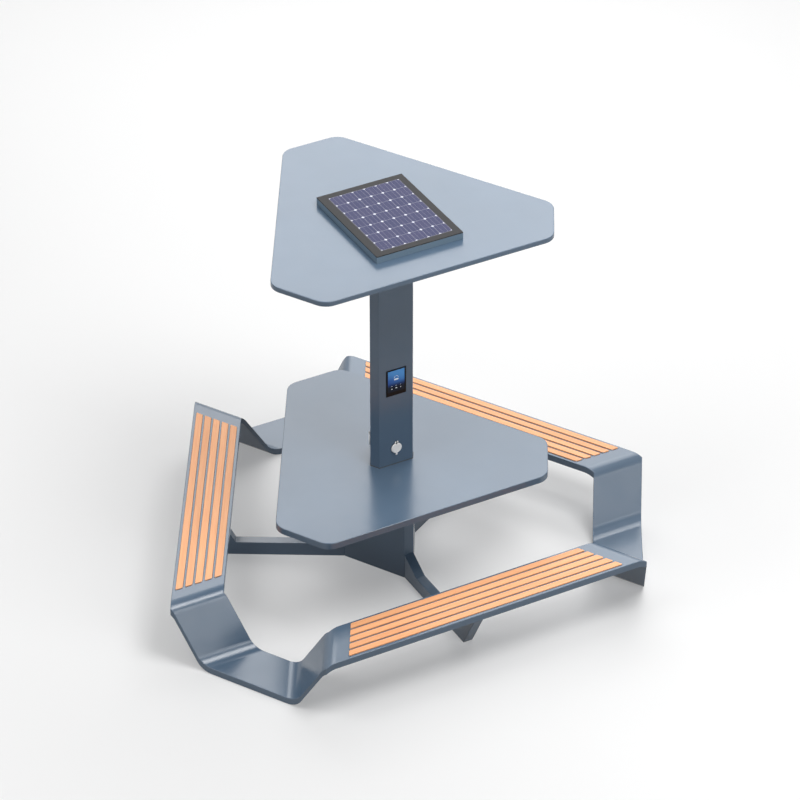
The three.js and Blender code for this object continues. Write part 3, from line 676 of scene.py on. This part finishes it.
def startTree(name, inputs, takesGeometry=False):
    tree = bpy.data.node_groups.new(name, "GeometryNodeTree")
    if takesGeometry:
        tree.interface.new_socket("Geometry", in_out="INPUT", socket_type="NodeSocketGeometry")
    for label, kind in inputs:
        tree.interface.new_socket(label, in_out="INPUT", socket_type="NodeSocket" + kind)
    tree.interface.new_socket("Geometry", in_out="OUTPUT", socket_type="NodeSocketGeometry")
    return tree, tree.nodes.new("NodeGroupInput"), tree.nodes.new("NodeGroupOutput")


def geoNode(tree, kind, settings=(), **links):
    node = tree.nodes.new(kind)
    for label, value in settings:
        setattr(node, label, value)
    for label, value in links.items():
        feed(tree, node.inputs[label.replace("_", " ")], value)
    return node


def bakeTree(name, tree, values, start=None):
    carrier = addObject(name + "_carrier", start or bpy.data.meshes.new(name + "_start"))
    maker = carrier.modifiers.new("maker", "NODES")
    maker.node_group = tree
    for item in tree.interface.items_tree:
        if item.in_out == "INPUT" and item.name in values:
            maker[item.identifier] = values[item.name]
    ready = carrier.evaluated_get(bpy.context.evaluated_depsgraph_get())
    mesh = bpy.data.meshes.new_from_object(ready)
    mesh.name = name
    carrier.modifiers.clear()
    bpy.data.objects.remove(carrier)
    return mesh


# Seat boards: one row of slats with ends cut along the fold, made once and turned for the other seats
slatSizes = {
    "Boards": 5,
    "Board width": 0.044,
    "Gap": 0.016,
    "Depth": 0.024,
    "Top": 0.427,
    "Outer edge": 1.32725,
    "End reach": 0.1985,
}
# The boards start as long boxes whose ends are then moved in to the fold; the grain runs on down their sides
slatLook = {
    "rawLength": 2.0,
    "foldTurn": math.radians(30.0),
    "sideRun": -0.25,
    "upright": 0.0001,
    "corner": (0.006, 4),
    "edge": (0.002, 3),
}


def slatTree():
    inputs = [("Boards", "Int")]
    inputs += [(label, "Float") for label in slatSizes if label != "Boards"]
    inputs.append(("Finish", "Material"))
    tree, taken, given = startTree("slatRow", inputs)
    size = taken.outputs
    pitch = calc(tree, "ADD", size["Board width"], size["Gap"])
    firstY = calc(tree, "SUBTRACT", calc(tree, "MULTIPLY", size["Board width"], 0.5), size["Outer edge"])
    middleZ = calc(tree, "SUBTRACT", size["Top"], calc(tree, "MULTIPLY", size["Depth"], 0.5))
    start = geoNode(tree, "ShaderNodeCombineXYZ", Y=firstY, Z=middleZ)
    step = geoNode(tree, "ShaderNodeCombineXYZ", Y=pitch)
    row = geoNode(tree, "GeometryNodeMeshLine", [("mode", "OFFSET")], Count=size["Boards"])
    tree.links.new(start.outputs[0], row.inputs["Start Location"])
    tree.links.new(step.outputs[0], row.inputs["Offset"])
    rawLength = slatLook["rawLength"]
    sides = geoNode(tree, "ShaderNodeCombineXYZ", X=rawLength, Y=size["Board width"], Z=size["Depth"])
    board = geoNode(tree, "GeometryNodeMeshCube", Size=sides.outputs[0])
    spread = geoNode(tree, "GeometryNodeInstanceOnPoints", Points=row.outputs[0], Instance=board.outputs[0])
    solid = geoNode(tree, "GeometryNodeRealizeInstances", Geometry=spread.outputs[0])
    x, y, z = axesOf(tree, tree.nodes.new("GeometryNodeInputPosition").outputs[0])
    side = calc(tree, "SIGN", x)
    fold = slatLook["foldTurn"]
    inward = calc(tree, "ABSOLUTE", y)
    lean = calc(tree, "MULTIPLY_ADD", inward, math.sin(fold), size["End reach"])
    endX = calc(tree, "MULTIPLY", side, calc(tree, "DIVIDE", lean, math.cos(fold)))
    moved = geoNode(tree, "ShaderNodeCombineXYZ", X=endX, Y=y, Z=z)
    mitred = geoNode(tree, "GeometryNodeSetPosition", Geometry=solid.outputs[0], Position=moved.outputs[0])
    fromTop = calc(tree, "SUBTRACT", z, size["Top"])
    fromEdge = calc(tree, "ADD", y, size["Outer edge"])
    acrossBoard = calc(tree, "MULTIPLY_ADD", fromTop, slatLook["sideRun"], fromEdge)
    flat = geoNode(tree, "ShaderNodeCombineXYZ", X=x, Y=acrossBoard)
    named = geoNode(tree, "GeometryNodeStoreNamedAttribute", [("data_type", "FLOAT2"), ("domain", "CORNER")])
    named.inputs["Name"].default_value = "UVMap"
    tree.links.new(mitred.outputs[0], named.inputs["Geometry"])
    tree.links.new(flat.outputs[0], named.inputs["Value"])
    done = geoNode(tree, "GeometryNodeSetMaterial", Geometry=named.outputs[0], Material=size["Finish"])
    tree.links.new(done.outputs[0], given.inputs[0])
    return tree


# Rounds the upright edges of the boards
def cutCorners(mesh, radius, steps):
    work = bmesh.new()
    work.from_mesh(mesh)
    upright = []
    for edge in work.edges:
        run = edge.verts[0].co - edge.verts[1].co
        if run.xy.length < slatLook["upright"]:
            upright.append(edge)
    bmesh.ops.bevel(work, geom=upright, offset=radius, segments=steps, profile=0.5, affect="EDGES")
    work.to_mesh(mesh)
    work.free()


slatRow = bakeTree("slatRowFront", slatTree(), {**slatSizes, "Finish": finishes["slat_wood"]})
cutCorners(slatRow, *slatLook["corner"])
for seat, turn in seatTurns.items():
    boards = slatRow.copy()
    boards.transform(Matrix.Rotation(turn, 4, "Z"))
    row = addObject("slats_" + seat, boards)
    rounding = row.modifiers.new("edgeRounding", "BEVEL")
    rounding.width, rounding.segments = slatLook["edge"]
    rounding.limit_method = "ANGLE"
    shading = row.modifiers.new("evenShading", "WEIGHTED_NORMAL")
    shading.keep_sharp = False
    settle(row, "bench", ["slat_%s_%d" % (seat, i + 1) for i in range(slatSizes["Boards"])])
print("slats laid")


# Outlines in plan: straight lines at distances along their normals, with rounded corners

def cutTriangle(longReach, shortReach):
    return [(math.radians(30 + 60 * i), shortReach if i % 2 else longReach) for i in range(6)]


def planOutline(lines, radius, steps):
    points = []
    for i, (angle, reach) in enumerate(lines):
        following, nextReach = lines[(i + 1) % len(lines)]
        a, b = reach - radius, nextReach - radius
        spread = math.sin(following - angle)
        x = (a * math.sin(following) - b * math.sin(angle)) / spread
        y = (b * math.cos(angle) - a * math.cos(following)) / spread
        turn = (following - angle) % (2 * math.pi)
        for k in range(steps + 1):
            now = angle + turn * k / steps
            points.append(Vector((x + radius * math.cos(now), y + radius * math.sin(now), 0.0)))
    return points


# A soft bead of seal in the corner between the column and a sheet it passes through: above the table top and
# below the canopy, each with its height and the way the bead rises
beadLook = {
    "radius": 0.0045,
    "rounds": 5,
    "column": (0.1105, 0.1615),
    "cornerRadius": 0.004,
    "cornerSteps": 4,
    "sharp": math.radians(50.0),
    "off": 0.00005,
    "sunk": 0.0005,
    "places": {"table": (0.8, 1), "canopy": (2.582, -1)},
}


def sealBead(name, height, upward):
    look = beadLook
    rings = []
    for k in range(look["rounds"] + 1):
        angle = math.pi / 2 * k / look["rounds"]
        out = look["radius"] * (1 - math.sin(angle)) + look["off"]
        rise = look["radius"] * (1 - math.cos(angle))
        lines = cutTriangle(*(reach + out for reach in look["column"]))
        outline = planOutline(lines, look["cornerRadius"] + out, look["cornerSteps"])
        rings.append([p + Vector((0, 0, height + upward * rise)) for p in outline])
    inner = cutTriangle(*(reach - look["sunk"] for reach in look["column"]))
    outline = planOutline(inner, look["cornerRadius"], look["cornerSteps"])
    rings.append([p + Vector((0, 0, height)) for p in outline])
    work = bmesh.new()
    loops = [[work.verts.new(p) for p in ring] for ring in rings]
    count = len(loops[0])
    for k, loop in enumerate(loops):
        other = loops[(k + 1) % len(loops)]
        for i in range(count):
            j = (i + 1) % count
            work.faces.new((loop[i], loop[j], other[j], other[i]))
    bmesh.ops.recalc_face_normals(work, faces=work.faces)
    smoothFaces(work)
    mesh = meshFrom(name, work)
    mesh.materials.append(sealFinish)
    mesh.set_sharp_from_angle(angle=look["sharp"])
    settle(addObject(name, mesh), "bench")


for where, (height, upward) in beadLook["places"].items():
    sealBead("column_seal_" + where, height, upward)
print("seals laid")


# Socket screws along a path, heads down, for the plates that close table, canopy and seats from below
screwLook = {
    "Head radius": 0.0052,
    "Head height": 0.0022,
    "Socket share": 0.5,
    "Spacing": 0.17,
}
screwShape = {"sides": 12, "dome": 0.74, "socketDepth": -0.6}


def screwTree():
    inputs = [(label, "Float") for label in screwLook] + [("Finish", "Material")]
    tree, taken, given = startTree("screwRow", inputs, takesGeometry=True)
    size = taken.outputs
    head = geoNode(tree, "GeometryNodeMeshCylinder", Vertices=screwShape["sides"],
                   Radius=size["Head radius"], Depth=size["Head height"])
    domed = geoNode(tree, "GeometryNodeScaleElements", Geometry=head.outputs["Mesh"],
                    Selection=head.outputs["Top"], Scale=screwShape["dome"])
    rim = geoNode(tree, "GeometryNodeExtrudeMesh", Mesh=domed.outputs[0],
                  Selection=head.outputs["Top"], Offset_Scale=0.0)
    drawn = geoNode(tree, "GeometryNodeScaleElements", Geometry=rim.outputs["Mesh"],
                    Selection=rim.outputs["Top"], Scale=size["Socket share"])
    depth = calc(tree, "MULTIPLY", size["Head height"], screwShape["socketDepth"])
    sunk = geoNode(tree, "GeometryNodeExtrudeMesh", Mesh=drawn.outputs[0],
                   Selection=rim.outputs["Top"], Offset_Scale=depth)
    path = geoNode(tree, "GeometryNodeMeshToCurve", Mesh=size["Geometry"])
    even = geoNode(tree, "GeometryNodeResampleCurve", [("mode", "LENGTH")], Curve=path.outputs[0],
                   Length=size["Spacing"])
    spread = geoNode(tree, "GeometryNodeInstanceOnPoints", Points=even.outputs[0],
                     Instance=sunk.outputs["Mesh"], Rotation=(math.pi, 0.0, 0.0))
    solid = geoNode(tree, "GeometryNodeRealizeInstances", Geometry=spread.outputs[0])
    done = geoNode(tree, "GeometryNodeSetMaterial", Geometry=solid.outputs[0], Material=size["Finish"])
    tree.links.new(done.outputs[0], given.inputs[0])
    return tree


def pathMesh(name, points):
    mesh = bpy.data.meshes.new(name)
    count = len(points)
    mesh.from_pydata([tuple(p) for p in points], [(i, (i + 1) % count) for i in range(count)], [])
    return mesh


def screwRing(name, points, height, spacing, turn=0.0):
    lift = Vector((0.0, 0.0, height - screwLook["Head height"] / 2))
    start = pathMesh("screwPath", [point + lift for point in points])
    values = {**screwLook, "Spacing": spacing, "Finish": finishes["bare_steel"]}
    heads = bakeTree(name, screwMaker, values, start)
    heads.transform(Matrix.Rotation(turn, 4, "Z"))
    settle(addObject(name, heads), "bench")


screwMaker = screwTree()

# How far a row's long and short sides stand from the middle, its corners' radius and steps, and its height
plateRows = {
    "table": {"reaches": (0.668, 1.016), "corner": (0.086, 6), "height": 0.753},
    "canopy": {"reaches": (0.6705, 1.019), "corner": (0.088, 6), "height": 2.582},
}
for where, row in plateRows.items():
    path = planOutline(cutTriangle(*row["reaches"]), *row["corner"])
    screwRing("screws_" + where, path, row["height"], screwLook["Spacing"])

# A seat's row runs round its plate, through two outer and two inner corners
seatRow = {"outer": (0.86, -1.319), "inner": (0.76, -1.0515), "height": 0.374, "spacing": 0.24}
for seat, turn in seatTurns.items():
    (outerX, outerY), (innerX, innerY) = seatRow["outer"], seatRow["inner"]
    corners = [(-outerX, outerY), (outerX, outerY), (innerX, innerY), (-innerX, innerY)]
    path = [Vector((x, y, 0.0)) for x, y in corners]
    screwRing("screws_seat_" + seat, path, seatRow["height"], seatRow["spacing"], turn)
print("screws set")


# Flat parts that stand a little proud of a face across Y, from outlines in X and Z

def flatShape(work, outline, y, thick):
    low = [work.verts.new((x, y, z)) for x, z in outline]
    high = [work.verts.new((x, y + thick, z)) for x, z in outline]
    work.faces.new(low)
    work.faces.new(list(reversed(high)))
    count = len(outline)
    for i in range(count):
        j = (i + 1) % count
        work.faces.new((low[j], low[i], high[i], high[j]))


def softBox(x, z, width, height, radius, steps=3):
    points = []
    for corner in range(4):
        start = corner * math.pi / 2
        cx = x + (width / 2 - radius) * (1 if corner in (0, 3) else -1)
        cz = z + (height / 2 - radius) * (1 if corner in (0, 1) else -1)
        for k in range(steps + 1):
            angle = start + math.pi / 2 * k / steps
            points.append((cx + radius * math.cos(angle), cz + radius * math.sin(angle)))
    return points


# Boxes side by side, each one step further along X
def boxRow(count, x, step, z, width, height, radius):
    return [softBox(x + step * k, z, width, height, radius) for k in range(count)]


# Half a ring, open below
def archShape(x, z, radius, thick, steps=12):
    angles = [math.pi * k / steps for k in range(steps + 1)]
    outer = [(x + radius * math.cos(angle), z + radius * math.sin(angle)) for angle in angles]
    share = (radius - thick) / radius
    return outer + [(x + (px - x) * share, z + (pz - z) * share) for px, pz in reversed(outer)]


# The finish is the slot's own unless another is given
def raised(name, outlines, y, thick, body, slotName, finish=None, turn=0.0):
    work = bmesh.new()
    for outline in outlines:
        flatShape(work, outline, y, thick)
    bmesh.ops.recalc_face_normals(work, faces=work.faces)
    mesh = meshFrom(name, work)
    mesh.transform(Matrix.Rotation(turn, 4, "Z"))
    mesh.materials.append(finish or finishes[slotName])
    settle(addObject(name, mesh), body)


# Plain signs on the screen, raised by a hair: a battery with an arc above it, and three small marks in a row.
# A box is its middle in X and Z, its width, height and corner radius; the arc is its middle, radius and width
signLook = {"front": -0.1140, "thick": 0.0003}
signShapes = [
    softBox(0.000, 1.4620, 0.030, 0.0115, 0.002),
    softBox(0.0165, 1.4620, 0.0025, 0.006, 0.001),
    archShape(0.000, 1.4735, 0.0160, 0.0026),
    softBox(-0.032, 1.3935, 0.010, 0.0055, 0.002),
    softBox(-0.032, 1.4140, 0.012, 0.0018, 0.0008),
    softBox(0.000, 1.3955, 0.012, 0.0055, 0.002),
    softBox(0.000, 1.4140, 0.012, 0.0018, 0.0008),
    softBox(0.032, 1.3940, 0.0045, 0.0085, 0.002),
    softBox(0.032, 1.4140, 0.010, 0.0018, 0.0008),
]
raised("screen_icons", signShapes, signLook["front"], signLook["thick"], "bench", "screen_glass", signFinish)
print("display dressed")


turning = {"steps": 32, "sharp": math.radians(35.0)}


# A turned part from a profile of radii and heights, round an axis that points toward the way it rises
def turnedPart(name, profile, place, toward, body, slotName, hollow=False):
    steps = turning["steps"]
    work = bmesh.new()
    rings = []
    for radius, height in profile:
        angles = [2 * math.pi * k / steps for k in range(steps)]
        rings.append([work.verts.new((radius * math.cos(t), radius * math.sin(t), height)) for t in angles])
    pairs = list(zip(rings, rings[1:]))
    if hollow:
        pairs.append((rings[-1], rings[0]))
    else:
        work.faces.new(rings[0])
        work.faces.new(rings[-1])
    for low, high in pairs:
        for k in range(steps):
            j = (k + 1) % steps
            work.faces.new((low[k], low[j], high[j], high[k]))
    bmesh.ops.recalc_face_normals(work, faces=work.faces)
    smoothFaces(work)
    mesh = meshFrom(name, work)
    mesh.set_sharp_from_angle(angle=turning["sharp"])
    turn = Vector(toward).to_track_quat("Z", "Y").to_matrix().to_4x4()
    mesh.transform(Matrix.Translation(place) @ turn)
    mesh.materials.append(finishes[slotName])
    settle(addObject(name, mesh), body)


# A raised ring on each cap
capRing = {
    "inner": 0.0272,
    "outer": 0.0300,
    "proud": 0.0007,
    "soft": 0.00035,
    "face": -0.1223,
    "height": 0.927,
}
for seat, turn in seatTurns.items():
    inner, outer, proud, soft = (capRing[key] for key in ("inner", "outer", "proud", "soft"))
    profile = [
        (inner, -soft), (inner, soft), (inner + soft, proud),
        (outer - soft, proud), (outer, soft), (outer, -soft),
    ]
    around = Matrix.Rotation(turn, 4, "Z")
    place = around @ Vector((0.0, capRing["face"], capRing["height"]))
    away = around @ Vector((0.0, -1.0, 0.0))
    turnedPart("cap_ring_" + seat, profile, place, away, "cap_" + seat, "socket_plastic", hollow=True)

# Two charging ports at the bottom of each socket's well, each a frame round a mouth
portLook = {
    "bottom": -0.0845,
    "height": 0.927,
    "apart": 0.0105,
    "frame": {"box": (0.0150, 0.0072, 0.0010), "proud": 0.0012, "thick": 0.0014, "slot": "bare_steel"},
    "mouth": {"box": (0.0120, 0.0045, 0.0006), "proud": 0.0013, "thick": 0.0002, "slot": "black_plastic"},
}
for seat, turn in seatTurns.items():
    levels = [portLook["height"] + side * portLook["apart"] / 2 for side in (-1, 1)]
    for kind in ("frame", "mouth"):
        part = portLook[kind]
        boxes = [softBox(0.0, z, *part["box"]) for z in levels]
        y = portLook["bottom"] - part["proud"]
        raised("port_%ss_%s" % (kind, seat), boxes, y, part["thick"], "bench", part["slot"], turn=turn)

# The turning plug of the door's lock and its key slot
lockLook = {
    "x": 0.108,
    "face": 0.1763,
    "height": 0.391,
    "plug": [(0.0062, -0.0002), (0.0062, 0.0004), (0.0059, 0.0006)],
    "slot": (0.0016, 0.0082, 0.0007),
    "slotProud": 0.0005,
    "slotThick": 0.00015,
}
lockMiddle = (lockLook["x"], lockLook["face"], lockLook["height"])
turnedPart("lock_plug", lockLook["plug"], lockMiddle, (0, 1, 0), "lock", "bare_steel")
keySlot = softBox(lockLook["x"], lockLook["height"], *lockLook["slot"])
slotFace = lockLook["face"] + lockLook["slotProud"]
raised("lock_key_slot", [keySlot], slotFace, lockLook["slotThick"], "lock", "black_plastic")

# The battery's ribs and terminals; a row of boxes is count, first X, step, Z, width, height, corner radius
batteryLook = {
    "face": 0.0698,
    "ribs": (9, -0.096, 0.024, 0.2533, 0.009, 0.156, 0.003),
    "ribThick": 0.0022,
    "terminal": [
        (0.015, -0.0004), (0.015, 0.004), (0.014, 0.005),
        (0.009, 0.005), (0.009, 0.016), (0.008, 0.017),
    ],
    "places": {"left": (-0.085, 0.030, 0.3533), "right": (0.085, 0.030, 0.3533)},
}
raised("battery_ribs", boxRow(*batteryLook["ribs"]), batteryLook["face"], batteryLook["ribThick"],
       "bench", "battery_case")
for side, place in batteryLook["places"].items():
    turnedPart("battery_terminal_" + side, batteryLook["terminal"], place, (0, 0, 1), "bench", "bare_steel")

# The controller's window, terminal strip and lamps, as rows of boxes on its face
controllerLook = {
    "face": 0.0149,
    "window": {"row": (1, -0.040, 0.0, 0.4600, 0.062, 0.024, 0.002), "thick": 0.0008},
    "terminals": {"row": (9, -0.066, 0.0165, 0.4350, 0.014, 0.011, 0.001), "thick": 0.0030},
    "lamps": {"row": (3, 0.020, 0.016, 0.4640, 0.004, 0.004, 0.0019), "thick": 0.0010},
}
for kind in ("window", "terminals", "lamps"):
    part = controllerLook[kind]
    slotName, finish = ("screen_glass", signFinish) if kind == "lamps" else ("black_plastic", None)
    boxes = boxRow(*part["row"])
    raised("controller_" + kind, boxes, controllerLook["face"], part["thick"], "bench", slotName, finish)
print("cap rings, ports, lock plug and inside parts set")


# Floor, lamps and camera

# Pale near the object and paler far off; the bounce is what other rays meet instead, and the haze ends it all
# in the world's white before the horizon
floorLook = {
    "reach": 60.0,
    "level": -0.0004,
    "colour": (0.83, 0.83, 0.83),
    "far": (0.90, 0.90, 0.90),
    "paleRadii": (1.5, 9.0),
    "bounceNear": (0.42, 0.42, 0.42),
    "bounceFar": (0.05, 0.05, 0.05),
    "bounceRadii": (1.8, 3.5),
    "share": 0.70,
    "glow": (0.265, 0.28),
    "haze": (3.0, 16.0),
    "sheen": {"Emission Color": (1.0, 1.0, 1.0, 1.0), "Roughness": 0.85, "Specular IOR Level": 0.1},
}
worldGlow = 0.02


# What the camera and reflections see of floor and world; other rays get the plain light alone
def seenRays(tree):
    rays = tree.nodes.new("ShaderNodeLightPath")
    seen = rays.outputs["Is Camera Ray"]
    for label in ("Is Glossy Ray", "Is Transmission Ray"):
        seen = calc(tree, "MAXIMUM", seen, rays.outputs[label])
    return seen


def addFloor():
    look = floorLook
    work = bmesh.new()
    reach = look["reach"]
    corners = [(-reach, -reach), (reach, -reach), (reach, reach), (-reach, reach)]
    work.faces.new([work.verts.new((x, y, look["level"])) for x, y in corners])
    mesh = meshFrom("studioFloor", work)
    finish, tree, shader, where = startFinish("studioFloor")
    length = tree.nodes.new("ShaderNodeVectorMath")
    length.operation = "LENGTH"
    tree.links.new(where.outputs["Object"], length.inputs[0])
    radius = length.outputs["Value"]
    near, far = (shaded(look[key], look["share"]) for key in ("colour", "far"))
    pale = blendColours(tree, softStep(tree, radius, *look["paleRadii"]), near, far)
    away = softStep(tree, radius, *look["bounceRadii"])
    dim = blendColours(tree, away, look["bounceNear"], look["bounceFar"])
    seen = seenRays(tree)
    haze = softStep(tree, radius, *look["haze"])
    ground = blendColours(tree, seen, dim, pale)
    tree.links.new(blendColours(tree, haze, ground, (0.0, 0.0, 0.0)), shader.inputs["Base Color"])
    glow = remap(tree, haze, 0.0, 1.0, remap(tree, away, 0.0, 1.0, *look["glow"]), 1.0)
    tree.links.new(calc(tree, "MULTIPLY", seen, glow), shader.inputs["Emission Strength"])
    setShader(shader, look["sheen"])
    mesh.materials.append(finish)
    addObject("studioFloor", mesh)


# Every lamp is aimed at a height on the object's axis
lampLook = {
    "back": {"place": (3.9, 7.1, 6.4), "aimHeight": 1.2, "size": (9.4, 6.2), "watts": 565.0},
    "top": {"place": (1.8, -3.7, 9.5), "aimHeight": 0.5, "size": (3.9, 4.2), "watts": 550.0},
    "left": {"place": (-5.5, 0.5, 9.0), "aimHeight": 0.5, "size": (5.0, 5.0), "watts": 285.0},
    "right": {"place": (6.0, 2.6, 9.2), "aimHeight": 0.5, "size": (5.5, 3.0), "watts": 235.0},
    "low": {"place": (3.3, -9.1, 3.4), "aimHeight": 0.5, "size": (6.8, 2.6), "watts": 170.0},
    "bend": {"place": (2.3, -8.8, 6.0), "aimHeight": 0.5, "size": (3.2, 2.0), "watts": 100.0},
    "side": {"place": (-9.5, -1.5, 3.0), "aimHeight": 0.5, "size": (4.0, 2.6), "watts": 158.0},
}


def addLamp(name, look):
    data = bpy.data.lights.new(name, "AREA")
    data.shape = "RECTANGLE"
    data.size, data.size_y = look["size"]
    data.energy = look["watts"]
    lamp = addObject(name, data)
    lamp.location = look["place"]
    toward = Vector((0.0, 0.0, look["aimHeight"])) - Vector(look["place"])
    lamp.rotation_euler = toward.to_track_quat("-Z", "Y").to_euler()
    lamp.visible_camera = False


def addWorld(glow):
    world = bpy.data.worlds.new("studio")
    world.use_nodes = True
    tree = world.node_tree
    tree.nodes.clear()
    ground = tree.nodes.new("ShaderNodeBackground")
    ground.inputs["Color"].default_value = (1.0, 1.0, 1.0, 1.0)
    tree.links.new(remap(tree, seenRays(tree), 0.0, 1.0, glow, 1.0), ground.inputs["Strength"])
    out = tree.nodes.new("ShaderNodeOutputWorld")
    tree.links.new(ground.outputs[0], out.inputs["Surface"])
    bpy.context.scene.world = world


cameraLook = {
    "place": (-9.898, -18.329, 15.467),
    "turn": (55.6515, 0.0, -28.5861),
    "lens": 175.87,
    "sensor": 36.0,
    "clip": (0.5, 200.0),
}


def addCamera():
    data = bpy.data.cameras.new("photoCamera")
    data.lens = cameraLook["lens"]
    data.sensor_width = cameraLook["sensor"]
    data.clip_start, data.clip_end = cameraLook["clip"]
    camera = addObject("photoCamera", data)
    camera.location = cameraLook["place"]
    camera.rotation_euler = [math.radians(part) for part in cameraLook["turn"]]
    bpy.context.scene.camera = camera


addFloor()
for lampName, look in lampLook.items():
    addLamp("lamp_" + lampName, look)
addWorld(worldGlow)
addCamera()
bpy.context.scene.view_settings.view_transform = "Standard"
print("floor, lamps and camera placed")
